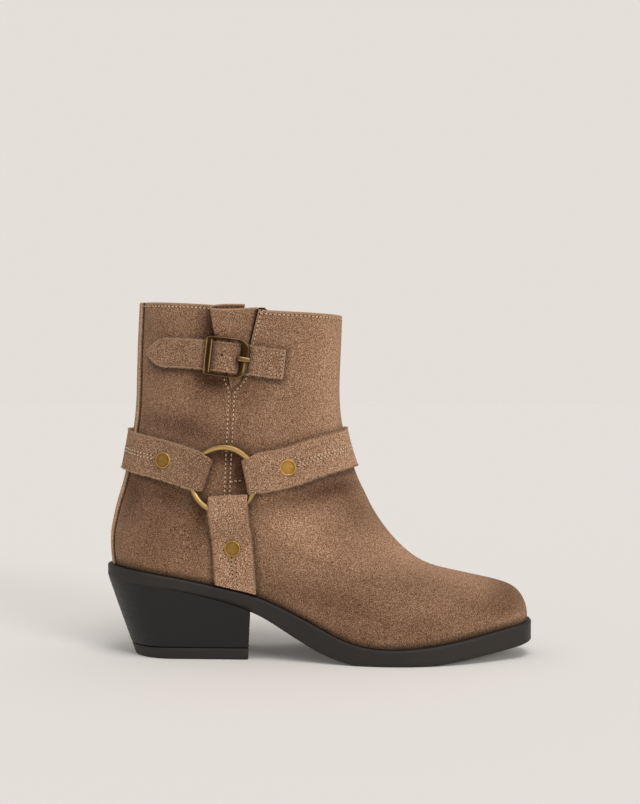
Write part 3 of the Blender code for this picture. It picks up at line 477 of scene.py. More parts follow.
def makeSuede(name, look):
    material, tree, shader = newMaterial(name, {
        "Specular IOR Level": look["specular"], "Sheen Weight": look["sheen"],
        "Sheen Roughness": look["sheenRough"], "Sheen Tint": look["sheenTint"]})
    nap = placeGroup(tree, "nap", {
        "Dark": look["dark"], "Light": look["light"], "Patch Size": look["patchSize"],
        "Patches": look["patches"], "Grain Size": look["grainSize"], "Grain": look["grain"],
        "Tips": look["tips"], "Tone And Light": look["lie"]})
    edged = placeGroup(tree, "edge", {
        "Color": nap["Color"], "Edge Color": look["edgeColour"], "Amount": look["edge"]})
    shaded = placeGroup(tree, "shade", {
        "Color": edged["Color"], "Shade Color": look["shadeColour"], "Amount": look["shade"]})
    linkLook(tree, shader, shaded["Color"], nap, look["bump"])
    return material


def makeGrained(name, look):
    material, tree, shader = newMaterial(name, {"Specular IOR Level": look["specular"]})
    grain = placeGroup(tree, "grain", {
        "Dark": look["dark"], "Light": look["light"], "Size": look["size"],
        "Rough Low": look["rough"][0], "Rough High": look["rough"][1]})
    shaded = placeGroup(tree, "shade", {
        "Color": grain["Color"], "Shade Color": look["shadeColour"], "Amount": 1.0})
    linkLook(tree, shader, shaded["Color"], grain, look["bump"])
    return material


def makeMetal(name, look):
    material, tree, shader = newMaterial(name, {"Metallic": 1.0})
    aged = placeGroup(tree, "metal", {
        "Bright": look["bright"], "Patina": look["patina"], "Wear And Highlight": look["wearAndHighlightAmount"], "Spots": look["spots"]})
    linkLook(tree, shader, aged["Color"], aged, look["bump"])
    return material


# lie scales the mask "tone": painted shade and painted highlights, with some nap tone
suedeLook = {
    "dark": colourOf(84, 57, 41), "light": colourOf(186, 146, 116), "patchSize": 40.0, "patches": 0.26,
    "grainSize": 0.5, "grain": 5.2, "tips": (0.85, 1.05, 1.28, 1.0), "lie": 1.0,
    "edgeColour": colourOf(188, 154, 124), "edge": 0.8, "shadeColour": colourOf(34, 23, 17), "shade": 1.0,
    "sheen": 0.22, "sheenTint": colourOf(205, 178, 152), "sheenRough": 0.55, "specular": 0.12, "bump": 0.5,
}
strapLook = {
    **suedeLook, "dark": colourOf(86, 61, 44), "light": colourOf(190, 150, 120), "patchSize": 20.0,
    "grainSize": 0.5, "grain": 7.2, "edgeColour": colourOf(202, 170, 140), "edge": 0.65, "bump": 0.6,
}
soleLook = {
    "dark": colourOf(30, 25, 22), "light": colourOf(44, 38, 34), "size": 0.8, "rough": (0.5, 0.72),
    "specular": 0.42, "shadeColour": colourOf(22, 19, 17), "bump": 0.12,
}
heelLook = {
    **soleLook, "dark": colourOf(15, 13, 12), "light": colourOf(22, 19, 18), "rough": (0.42, 0.6),
}
liningLook = {
    "dark": colourOf(36, 30, 27), "light": colourOf(56, 48, 43), "size": 0.7, "rough": (0.75, 0.95),
    "specular": 0.2, "shadeColour": colourOf(12, 10, 9), "bump": 0.2,
}
footbedLook = {
    "dark": colourOf(92, 70, 52), "light": colourOf(124, 98, 76), "size": 0.9, "rough": (0.55, 0.75),
    "specular": 0.35, "shadeColour": colourOf(50, 37, 28), "bump": 0.15,
}
threadLook = {
    "dark": colourOf(186, 158, 130), "light": colourOf(228, 205, 178), "size": 0.35, "rough": (0.6, 0.8),
    "specular": 0.3, "shadeColour": colourOf(90, 66, 48), "bump": 0.12,
}
boxThreadLook = {**threadLook, "dark": colourOf(176, 147, 118), "light": colourOf(218, 190, 161)}
toneThreadLook = {**threadLook, "dark": colourOf(166, 134, 106), "light": colourOf(208, 176, 146)}
# dark discs that paint the shade in the needle holes and the spare hole
holeLook = {
    "dark": colourOf(26, 18, 13), "light": colourOf(40, 28, 21), "size": 0.4, "rough": (0.9, 1.0),
    "specular": 0.1, "shadeColour": colourOf(30, 21, 16), "bump": 0.1,
}
brassLook = {
    "bright": colourOf(214, 177, 120), "patina": colourOf(104, 76, 38), "wearAndHighlightAmount": 0.9, "spots": 0.5,
    "bump": 0.05,
}
rivetLook = {**brassLook, "bright": colourOf(222, 177, 98), "patina": colourOf(94, 62, 21)}
buckleLook = {
    "bright": colourOf(204, 165, 110), "patina": colourOf(62, 43, 27), "wearAndHighlightAmount": 1.0, "spots": 0.12,
    "bump": 0.06,
}
suede = makeSuede("suedeTaupe", suedeLook)
strapSuede = makeSuede("strapSuede", strapLook)
soleRubber = makeGrained("soleRubber", soleLook)
heelRubber = makeGrained("heelRubber", heelLook)
lining = makeGrained("liningCloth", liningLook)
footbed = makeGrained("footbedLeather", footbedLook)
thread = makeGrained("waxedThread", threadLook)
toneThread = makeGrained("tonalThread", toneThreadLook)
boxThread = makeGrained("boxThread", boxThreadLook)
needleHole = makeGrained("needleHole", holeLook)
brass = makeMetal("agedBrass", brassLook)
rivetBrass = makeMetal("rivetBrass", rivetLook)
buckleBrass = makeMetal("antiqueBrass", buckleLook)
print("materials made")


# Mesh helpers

def addPiece(name, points, faces, material, slot, replaced=(), facing=None, sharp=45.0, masks=None):
    mesh = bpy.data.meshes.new(name)
    points = np.asarray(points, float)
    mesh.from_pydata((points * mm).tolist(), [], faces)
    work = bmesh.new()
    work.from_mesh(mesh)
    if facing is None:
        bmesh.ops.recalc_face_normals(work, faces=work.faces)
    else:  # an open sheet is turned to the side that facing gives
        work.normal_update()
        total = sum(face.normal.dot(Vector(facing[face.verts[0].index])) for face in work.faces)
        if total < 0.0:
            bmesh.ops.reverse_faces(work, faces=work.faces)
    work.to_mesh(mesh)
    work.free()
    for label, values in (masks or {}).items():
        layer = mesh.attributes.new(label, "FLOAT", "POINT")
        layer.data.foreach_set("value", np.asarray(values, np.float32).ravel())
    mesh.shade_smooth()
    mesh.set_sharp_from_angle(angle=math.radians(sharp))
    mesh.materials.append(material)
    piece = bpy.data.objects.new(name, mesh)
    bpy.context.scene.collection.objects.link(piece)
    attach(piece, "root")
    if replaced:
        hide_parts(*replaced)
    return piece


def faceTree(piece):  # for laying stitches and caps on a finished piece, in millimetres
    corners = [tuple(value / mm for value in vertex.co) for vertex in piece.data.vertices]
    return BVHTree.FromPolygons(corners, [tuple(face.vertices) for face in piece.data.polygons])


def loopPiece(name, loops, *finish, caps=True, **options):
    loops = np.asarray(loops)
    rows, count = loops.shape[:2]
    faces = gridFaces(rows, count, wrap=True)
    if caps:
        faces.append(list(range(count)))
        faces.append(list(range((rows - 1) * count, rows * count)))
    return addPiece(name, loops.reshape(-1, 3), faces, *finish, **options)


def sheetPiece(name, grid, facing, *finish, **options):
    faces = gridFaces(*grid.shape[:2])
    return addPiece(name, grid.reshape(-1, 3), faces, *finish, facing=facing.reshape(-1, 3), **options)


def castOn(tree, start, direction):
    place, normal, _, _ = tree.ray_cast(Vector(start), Vector(direction))
    if place is None:
        return None, None
    return np.array(place), np.array(normal)


outside = 300.0          # rays towards the last start this far out
overStrap = 40.0         # and those towards a strap this far over its route
shaftAxis = (30.0, -1.0)


def shaftPoint(angle, z):
    out = np.array((math.cos(math.radians(angle)), math.sin(math.radians(angle)), 0.0))
    start = np.array((*shaftAxis, z)) + outside * out
    return castOn(lastFace, start, -out)[0]


def sidePoint(x, z):
    return castOn(lastFace, (x, -outside, z), (0.0, 1.0, 0.0))[0]


class StrapRoute:  # a line on the upper with its run, outward and cross directions
    def __init__(self, points, normals):
        self.points = np.array(points)
        self.along = reachOf(self.points)
        self.length = self.along[-1]
        runs = unit(np.gradient(self.points, self.along, axis=0))
        self.normals = unit(np.array(normals))
        self.runs = unit(runs - self.normals * np.sum(runs * self.normals, axis=1, keepdims=True))

    def frameAt(self, a):
        inside = min(max(a, 0.0), self.length)
        run = unit(readAlong(inside, self.along, self.runs))
        normal = unit(readAlong(inside, self.along, self.normals))
        point = readAlong(inside, self.along, self.points) + run * (a - inside)
        return point, run, normal, np.cross(normal, run)

    def place(self, a, across, out):
        point, _, normal, side = self.frameAt(a)
        return point + side * across + normal * out

    def bulge(self, a, across, limit=5.0):
        point, _, normal, side = self.frameAt(min(max(a, 0.0), self.length))
        found = castOn(lastFace, point + side * across + normal * overStrap, -normal)[0]
        return 0.0 if found is None else max(float(np.dot(found - point, normal)), -limit)


def strapFace(tree, route, a, across):  # point on a finished strap over a place of its route
    _, _, normal, _ = route.frameAt(a)
    return castOn(tree, route.place(a, across, overStrap), -normal)[0]


def shaftRoute(rows, samples=200, turn=4.0, rise=5.0):
    angles = np.linspace(rows[0][0], rows[-1][0], samples)
    heights = steady(*zip(*rows), angles)
    points = []
    normals = []
    for angle, z in zip(angles, heights):
        around = shaftPoint(angle + turn, z) - shaftPoint(angle - turn, z)
        upward = shaftPoint(angle, z + rise) - shaftPoint(angle, z - rise)
        points.append(shaftPoint(angle, z))
        normals.append(np.cross(around, upward))
    return StrapRoute(points, normals)


def sideRoute(start, end, samples=80, reach=4.0):
    points = []
    normals = []
    for share in np.linspace(0.0, 1.0, samples):
        x = start[0] + share * (end[0] - start[0])
        z = start[1] + share * (end[1] - start[1])
        forward = sidePoint(x + reach, z) - sidePoint(x - reach, z)
        upward = sidePoint(x, z + reach) - sidePoint(x, z)
        points.append(sidePoint(x, z))
        normals.append(np.cross(forward, upward))
    return StrapRoute(points, normals)


def shaftAngle(point, lowest):
    angle = math.degrees(math.atan2(point[1] - shaftAxis[1], point[0] - shaftAxis[0]))
    return angle + 360.0 if angle < lowest - 1.0 else angle


# Upper: two suede panels butted at the side seam, parted above it by the notch

notchForm = {
    "columns": ("z", "rear", "front"),
    "rows": (  # the side seam runs down from the notch's point
        (20.0, 24.5, 24.5), (102.0, 24.4, 24.4), (114.0, 24.8, 24.8), (134.0, 25.8, 25.8),
        (150.0, 26.6, 26.6), (166.0, 27.3, 27.7), (169.5, 25.6, 31.4), (175.0, 24.0, 35.0),
        (194.5, 20.8, 38.9), (216.0, 18.3, 43.9), (226.0, 17.4, 46.0),
    ),
    "point": 166.0,
    "search": (0.4, 2.4, 500),      # part of each ring where an edge is looked for
}

stayHalf = 11.0     # half width of the back stay, the upper carries painted shadow beside it

upperForm = {
    "columns": 400,
    "levels": 165,
    "crowding": 0.6,            # columns crowd towards the panels' edges
    "wall": 2.0,
    "turnIn": ((0.18, 0.22), (0.12, 0.9), (-1.0, 1.5)),   # past the edge, and in from the face
    "rollWidth": 0.8,           # the seam's edges roll in over this width
    "rollDepth": 0.22,
    "foot": (1.2, 1.0),         # the lowest row lies this far in and down
    # amount of each mask, and the distances over which it eases off
    "rimPale": (1.0, 0.1, 0.9),
    "edgePale": (0.35, 0.1, 0.7),
    "seamDark": (0.45, 0.0, 0.5),
    "notchEase": 2.0,
    # painted shade just above the sole, and painted shadow in the gutter beside the back stay
    "soleDark": 0.75,
    "soleDarkReach": 6.0,
    "soleDarkFall": 1.5,
    "gutterDark": (0.6, 1.0, 2.4),
    "gutterBegin": (-0.6, -0.1),
    "creaseFade": (-6.0, 12.0),     # marks of one side ease in over these y
    "toneFade": (-4.0, 14.0),
    # soft troughs and ridges: x, z, side, slope, half length, half width, depth
    # side is -1 for the outer one, 1 for the inner one and 0 for both
    "creases": (
        (82, 103, 0, 62, 26, 5.0, 0.9),
        (98, 86, 0, 54, 24, 6.0, -0.6),
        (64, 92, -1, 40, 30, 8.0, 0.7),
        (118, 52, -1, 15, 34, 6.0, 0.5),
        (142, 40, -1, 30, 26, 5.0, 0.4),
        (8, 155, -1, 20, 26, 8.0, 0.5),
        (60, 160, -1, -12, 26, 9.0, 0.5),
        (-26, 96, -1, 70, 22, 8.0, 0.4),
        (70, 100, 1, 40, 28, 7.0, 0.7),
        (20, 150, 1, 10, 30, 9.0, 0.5),
    ),
    # lighter and darker tone, most of it painted shade, painted shadows and painted highlights: x, z,
    # side, slope, half length, half width, amount
    "tones": (
        (60, 82, -1, -30, 30, 17, 0.22),        # lighter below the ring
        (82, 104, -1, 15, 30, 7, -0.42),        # painted shadow under the front strap
        (102, 95, 0, -55, 18, 11, -0.22),       # instep
        (94, 76, 0, -55, 24, 8, -0.06),
        (100, 36, 0, -16, 46, 11, -0.26),       # painted shade along the sole to the toe
        (50, 42, -1, -20, 18, 8, -0.16),
        (138, 46, 0, -8, 38, 8, -0.14),
        (142, 20, 0, 2, 44, 9, -0.1),
        (104, 18, 0, -12, 22, 6, -0.14),
        (178, 31, 0, 0, 30, 9, -0.12),
        (199, 40, 0, 75, 18, 14, -0.28),
        (150, 60, 0, -20, 36, 7, 0.26),         # painted highlight on the top of the vamp
        (202, 24, 0, 10, 14, 6, 0.2),
        (-14, 102, -1, -14, 32, 8, -0.22),      # painted shadow under the rear strap
        (-22, 82, -1, 70, 28, 17, -0.26),       # painted shade on the heel counter
        (8, 90, -1, 80, 12, 6, -0.14),
        (-6, 72, -1, 60, 26, 16, -0.1),
        (-37, 100, -1, 80, 18, 9, -0.32),
        (-20, 172, -1, 90, 46, 11, -0.08),      # painted shade on the rear of the shaft
        (6, 80, -1, 85, 32, 7, -0.14),          # painted shadow beside the lower strap
        (-2, 143, -1, -13, 34, 8, -0.34),       # above the rear strap
        (10, 160, -1, 60, 22, 10, -0.14),
        (58, 131, -1, 13, 30, 5, -0.12),        # above the front strap
        (22, 126, -1, 0, 13, 4, -0.44),         # painted shadow inside the ring
        (33, 115, -1, 90, 14, 6, -0.42),
        (27, 112, -1, 90, 14, 9, -0.24),
        (37, 160, -1, 80, 20, 10, -0.12),
        (13, 206, -1, 80, 16, 7, -0.44),        # painted shadow beside the pleat
        (17, 204, -1, 84, 18, 4, -0.3),
        (9, 186, -1, 90, 14, 7, -0.3),
        (20, 171, -1, 0, 14, 6, -0.4),          # painted shadow under the buckle
        (-6, 179, -1, -4, 24, 6, -0.16),        # painted shadow under the strap's tip
        (-18, 206, -1, 0, 20, 8, -0.12),
        (46, 183, -1, 70, 26, 8, -0.12),        # beside the front panel's edge
        (94, 180, -1, 88, 52, 15, 0.36),        # painted highlight on the front of the shaft
    ),
}


def panelEdge(name, z):
    return steady(column(notchForm, "z"), column(notchForm, name), z)


def edgeTheta(v, name):  # where a panel's edge crosses a level of the outer side
    theta = np.linspace(*notchForm["search"])
    ring = lastRing(v, theta)
    off = ring[:, 0] - panelEdge(name, ring[:, 2])
    i = int(np.argmax(off > 0.0))
    return theta[i - 1] + (theta[i] - theta[i - 1]) * off[i - 1] / (off[i - 1] - off[i])


def gridNormals(grid):
    return unit(np.cross(np.gradient(grid, axis=1), np.gradient(grid, axis=0)))


def sumMarks(points, rows, fade):  # soft oval marks
    total = np.zeros(points.shape[:-1])
    for x, z, side, slope, length, width, amount in rows:
        turn = math.radians(slope)
        ahead = points[..., 0] - x
        above = points[..., 2] - z
        run = ahead * math.cos(turn) + above * math.sin(turn)
        off = above * math.cos(turn) - ahead * math.sin(turn)
        shape = np.exp(-(off / width) ** 2 - (run / length) ** 2)
        if side:
            shape = shape * easeIn(side * points[..., 1], *fade)
        total += amount * shape
    return total


def reachAlong(grid):  # distance from the first column, row by row
    steps = np.linalg.norm(np.diff(grid, axis=1), axis=2)
    return np.concatenate((np.zeros((len(grid), 1)), np.cumsum(steps, axis=1)), axis=1)


def makeUpperGrid():
    share = np.linspace(0.0, 1.0, upperForm["columns"])
    share = share - upperForm["crowding"] * np.sin(2.0 * math.pi * share) / (2.0 * math.pi)
    grid = []
    backShare = []
    for v in np.linspace(0.0, 1.0, upperForm["levels"]):
        rear = edgeTheta(v, "rear")
        front = edgeTheta(v, "front") - 2.0 * math.pi
        grid.append(lastRing(v, rear + share * (front - rear)))
        backShare.append(rear / (rear - front))
    grid = np.array(grid)
    normals = gridNormals(grid)
    if np.sum(normals[..., 1] * grid[..., 1]) < 0.0:
        normals = -normals
    reach = reachAlong(grid)
    fromBack = np.array([np.interp(at, share, row) for at, row in zip(backShare, reach)])
    return grid, normals, reach, fromBack


lastUpper, lastNormals, fromRear, fromBack = makeUpperGrid()
fromEdge = np.minimum(fromRear, fromRear[:, -1:] - fromRear)
roll = upperForm["rollDepth"] * np.clip(1.0 - fromEdge / upperForm["rollWidth"], 0.0, 1.0) ** 2
creases = sumMarks(lastUpper, upperForm["creases"], upperForm["creaseFade"])
upperGrid = lastUpper - lastNormals * (creases + roll)[..., None]
bentNormals = gridNormals(upperGrid)
upperNormals = bentNormals * np.sign(np.sum(bentNormals * lastNormals, axis=-1, keepdims=True))


def turnedIn(edge, outward, normals):  # rows that turn in behind an edge
    return [edge + outward * past - normals * deep for past, deep in upperForm["turnIn"]]


def fadeOff(distance, amount, low, high):
    return amount * easeOut(distance, low, high)


def makeUpper():
    before = turnedIn(upperGrid[:, 0], unit(upperGrid[:, 0] - upperGrid[:, 1]), upperNormals[:, 0])
    after = turnedIn(upperGrid[:, -1], unit(upperGrid[:, -1] - upperGrid[:, -2]), upperNormals[:, -1])
    grid = np.concatenate((np.stack(before[::-1], axis=1), upperGrid, np.stack(after, axis=1)), axis=1)
    extra = len(upperForm["turnIn"])
    normals = np.pad(upperNormals, ((0, 0), (extra, extra), (0, 0)), mode="edge")
    rim = turnedIn(grid[-1], unit(grid[-1] - grid[-2]), normals[-1])
    inward, down = upperForm["foot"]
    foot = grid[0] - inward * normals[0] - np.array((0.0, 0.0, down))
    grid = np.concatenate((foot[None], grid, np.stack(rim)), axis=0)
    facing = np.pad(normals, ((1, extra), (0, 0), (0, 0)), mode="edge")
    margins = ((1, extra), (extra, extra))
    edge = np.pad(fromEdge, margins, mode="edge")
    fromTop = np.linalg.norm(grid - grid[-1 - extra], axis=2)
    aboveSole = grid[..., 2] - grid[1, :, 2]
    ease = upperForm["notchEase"]
    aboveNotch = easeIn(grid[..., 2], notchForm["point"] - ease, notchForm["point"] + ease)
    edgePale = fadeOff(edge, *upperForm["edgePale"]) * aboveNotch
    pale = np.maximum(fadeOff(fromTop, *upperForm["rimPale"]), edgePale)
    dark = fadeOff(edge, *upperForm["seamDark"]) * (1.0 - aboveNotch)
    # painted shade above the sole, painted shadow beside the back stay
    low = easeOut(aboveSole, 0.0, upperForm["soleDarkReach"]) ** upperForm["soleDarkFall"]
    beside = np.abs(fromRear - fromBack[:, None]) - stayHalf
    gutter = fadeOff(beside, *upperForm["gutterDark"]) * easeIn(beside, *upperForm["gutterBegin"])
    shade = np.maximum(dark, np.pad(gutter, margins, mode="edge"))
    shade = np.maximum(shade, upperForm["soleDark"] * low)
    # painted shade, painted shadows and painted highlights, with some nap tone
    tone = sumMarks(grid, upperForm["tones"], upperForm["toneFade"])
    return sheetPiece("upperPanels", grid, facing, suede, "suede", ("upper",),
                      masks={"edge": pale, "shade": shade, "tone": tone})


liningForm = {
    "every": 2,               # each second row and column of the upper
    "sink": -0.5,             # below the rim, but standing up at the front panel's edge
    "stand": 1.9,
    "standOver": (3.0, 8.0),
}


def makeLining():
    every = liningForm["every"]
    grid = (lastUpper - upperForm["wall"] * lastNormals)[::every, ::every]
    fromFront = (fromRear[-1, -1] - fromRear[-1])[::every]
    stand = liningForm["stand"] * easeOut(fromFront, *liningForm["standOver"])
    grid[-1, :, 2] += liningForm["sink"] + stand
    return sheetPiece("liningSock", grid, -lastNormals[::every, ::every], lining, "footbed")


upperPiece = makeUpper()
makeLining()
print("upper and lining made")


# Gusset: pleated insert behind the notch

pleatForm = {
    "columns": ("across", "tuck", "out", "rise"),
    "rows": (
        (0.00, 4.0, -3.0, 0.0), (0.00, 1.0, -3.0, 0.0), (0.09, 0.0, -2.8, 0.0), (0.20, 0.0, -0.9, -0.1),
        (0.42, 0.0, 1.6, -0.35), (0.70, 0.0, 3.4, -0.6), (0.98, 0.0, 4.3, -0.55), (1.09, 0.0, 4.1, -0.35),
        (1.12, 0.0, 3.3, 0.0), (1.08, 0.0, 2.5, 0.4), (0.96, 0.0, 2.0, 0.7), (0.70, 0.0, 1.0, 0.9),
        (0.46, 0.0, -0.4, 0.9), (0.38, 0.0, -1.2, 0.9), (0.35, 0.0, -1.9, 0.8), (0.39, 0.0, -2.6, 0.6),
        (0.54, 0.0, -3.0, 0.3), (0.94, 0.0, -3.0, 0.0), (1.00, -1.0, -3.0, 0.0), (1.00, -4.0, -3.0, 0.0),
    ),
    "points": 110,
    "levels": 44,
    "thick": 0.7,
    "skived": 0.3,
    "begins": 0.06,
    "growth": 0.68,
    "stand": 0.5,
    "seat": -1.85,      # the insert lies this far behind the panels' face at the notch's point
    "rise": 2.2,
    "below": 2.0,
    "collarMargin": 4.0,
    "tone": -0.07,      # tone of the insert, and a painted highlight in the middle of the front fold
    "light": 0.44,
    "lightAt": 4.3,
    "lightWidth": 1.5,
    "collarX": 27.7,    # the collar's height is read here, in this part of its ring
    "collarFan": (0.2 * math.pi, 0.8 * math.pi, 60),
    "wallTop": 0.96,    # share of the height, with closer levels over it
    "rimLevels": (0.97, 0.98, 0.988, 0.995, 1.0),
    "rimPale": (0.978, 0.99),
    "turnReach": 4.0,
    # shade inside the fold and beside it: amount, then places along the rows
    "insideDark": (0.6, (3.5, 5.5), (13.4, 14.2)),
    "gapDark": (0.95, (1.5, 2.3), (16.2, 17.2)),
}


def pleatLine(depth):
    rows = np.arange(len(pleatForm["rows"]))
    reads = np.linspace(0, rows[-1], pleatForm["points"])
    curves = [steady(rows, column(pleatForm, name), reads) for name in pleatForm["columns"]]
    across, tuck, out, rise = curves
    flat = np.clip((reads - 1.0) / (rows[-1] - 2.0), 0.0, 1.0)
    across = flat + (across - flat) * depth
    seat = pleatForm["seat"] + depth * (out[0] - pleatForm["seat"])
    out = seat + (out - out[0]) * depth ** pleatForm["stand"]
    return across, tuck, out, rise * depth ** 3


def makeGusset():
    collar = lastRing(1.0, np.linspace(*pleatForm["collarFan"]))
    top = float(np.interp(pleatForm["collarX"], collar[:, 0], collar[:, 2]))
    bottom = notchForm["point"] - pleatForm["below"]
    upright = np.array((0.0, 0.0, 1.0))
    turn = pleatForm["turnReach"]
    reads = np.linspace(0, len(pleatForm["rows"]) - 1, pleatForm["points"])
    amount, begin, end = pleatForm["insideDark"]
    inside = amount * easeIn(reads, *begin) * easeOut(reads, *end)
    amount, begin, end = pleatForm["gapDark"]
    gap = amount * np.maximum(easeOut(reads, *begin), easeIn(reads, *end))
    # painted highlight in the middle of the front fold
    light = pleatForm["light"] * bell(reads, pleatForm["lightAt"], pleatForm["lightWidth"])
    loops = []
    masks = {"edge": [], "shade": [], "tone": []}
    for share in (*np.linspace(0.0, pleatForm["wallTop"], pleatForm["levels"]), *pleatForm["rimLevels"]):
        z = bottom + share * (top - bottom)
        front = float(panelEdge("front", max(z, notchForm["point"])))
        rear = float(panelEdge("rear", max(z, notchForm["point"])))
        readZ = min(z, top - pleatForm["collarMargin"])
        grown = float(easeIn(share, pleatForm["begins"], pleatForm["begins"] + pleatForm["growth"]))
        line = []
        for across, tuck, out, rise in zip(*pleatLine(grown)):
            x = front + across * (rear - front) + tuck
            outward = unit(np.cross(sidePoint(x + turn, readZ) - sidePoint(x - turn, readZ), upright))
            lift = upright * (z - readZ + pleatForm["rise"] * rise)
            line.append(sidePoint(x, readZ) + outward * out + lift)
        line = np.array(line)
        runs = np.gradient(line, axis=0)
        runs[:, 2] = 0.0
        normals = unit(np.cross(unit(runs), upright))
        half = 0.5 * pleatForm["thick"] * (pleatForm["skived"] + (1.0 - pleatForm["skived"]) * grown)
        loops.append(np.concatenate((line + half * normals, (line - half * normals)[::-1])))
        rim = float(easeIn(share, *pleatForm["rimPale"]))
        masks["edge"].append(np.full(2 * len(line), rim))
        masks["shade"].append(np.concatenate((inside, gap[::-1])) * (1.0 - rim))
        masks["tone"].append(np.tile(pleatForm["tone"] + light, 2))
    return loopPiece("gussetPleat", loops, suede, "strap_suede", replaced=("gusset",), masks=masks)


gussetPiece = makeGusset()
print("gusset made")


# Back stay: strip over the back seam

stayForm = {
    "half": stayHalf,
    "thick": 1.2,
    "gap": 0.3,
    "levels": 150,
    "across": 33,
    "fan": (-0.9, 0.9, 161),        # part of each ring that is measured
    "levelReach": 0.006,
    "edgeRound": 0.9,
    "leastLift": 0.08,
    "dip": -0.3,                    # the outermost points dip into the upper
    "rim": ((0.3, 0.25), (1.4, 0.25)),      # in from the face, and up
    "stitchInset": 2.2,
    "gutter": (0.25, 0.9, 1.6, 1.9),        # dark margin past the edges: painted shadow of the gap between stay and upper
    # masks over the distance past the edge
    "pale": (-1.0, -0.2),
    "paleEnd": (-0.1, 0.0),
    "paleAmount": 0.5,
    # painted shadow at the edges and over the gutter
    "dark": (-0.2, 0.1),
    "tone": ((0.0, 0.55), (2.0, 0.45), (5.0, 0.06), (12.0, 0.0)),   # in from the edge, and tone: painted highlight, lightest at the edge
}


def makeStay():
    fan = np.linspace(*stayForm["fan"])
    half = stayForm["half"]
    offsets = half * np.sin(np.linspace(-0.5 * math.pi, 0.5 * math.pi, stayForm["across"]))
    # the gutter past each edge is a flat dark margin of painted shadow
    margin = half + np.array(stayForm["gutter"])
    offsets = np.concatenate((-margin[::-1], offsets, margin))
    away = np.abs(offsets) - half
    left = np.clip(away / stayForm["edgeRound"] + 1.0, 0.0, 1.0)
    lift = (stayForm["gap"] + stayForm["thick"]) * (1.0 - left ** 3) ** 0.5 + stayForm["leastLift"]
    lift[[0, -1]] = stayForm["dip"]
    step = stayForm["levelReach"]
    grid = []
    facing = []
    for v in np.linspace(0.0, 1.0, stayForm["levels"]):
        reach = reachOf(lastRing(v, fan))
        theta = np.interp(offsets, reach - np.interp(0.0, fan, reach), fan)
        upward = lastRing(min(v + step, 1.0), theta) - lastRing(max(v - step, 0.0), theta)
        normals = unit(np.cross(lastRun(v, theta), upward))
        grid.append(lastRing(v, theta) + normals * lift[:, None])
        facing.append(normals)
    top = grid[-1]
    for deep, up in stayForm["rim"]:
        grid.append(top - deep * normals + np.array((0.0, 0.0, up)))
        facing.append(normals)
    grid = np.array(grid)
    facing = np.array(facing)
    pale = stayForm["paleAmount"] * easeIn(away, *stayForm["pale"])
    # painted shadow at the edges and on the gutter, painted highlight through tone
    masks = {
        "edge": pale * easeOut(away, *stayForm["paleEnd"]),
        "shade": easeIn(away, *stayForm["dark"]),
        "tone": np.interp(-away, *zip(*stayForm["tone"])),
    }
    masks = {label: np.tile(values, (len(grid), 1)) for label, values in masks.items()}
    sheetPiece("backStay", grid, facing, suede, "suede", ("back_stay",), masks=masks)
    return grid, facing, offsets


stayGrid, stayFacing, stayOffsets = makeStay()
print("back stay made")


# Straps: suede bands with rounded raw edges, laid over the upper

bandForm = {
    "inner": 11,           # points across the flat
    "edge": (0.5, 0.8, 0.94, 1.0),
    "edgeRound": 1.0,
    "narrow": 2.0,         # a band less than this to each side has no flat
    "flatSide": 0.35,      # share of the thickness left at the very edge
    "waver": 0.225,        # unevenness of the cut edges
    "waves": ((0.6, 1.9, 0.0), (0.5, 0.83, 1.0), (0.7, 4.7, 0.0)),
    "pale": (0.35, 0.9),   # share of the edge's rounding
    "paleEnd": (1.1, 0.2),     # in from the sewn end
    "lower": (0.8, 1.0),
    "lowerShade": 0.5,     # painted shade on the lower edge and the underside
    "underShade": 0.5,
}


def acrossShares(half):
    inner = half - bandForm["edgeRound"]
    flat = np.linspace(-inner, inner, bandForm["inner"])
    right = inner + bandForm["edgeRound"] * np.array(bandForm["edge"])
    return np.concatenate((-right[::-1], flat, right))


def edgeWaver(a):
    waves = sum(size * math.sin(a * rate + shift) for size, rate, shift in bandForm["waves"])
    return bandForm["waver"] * waves


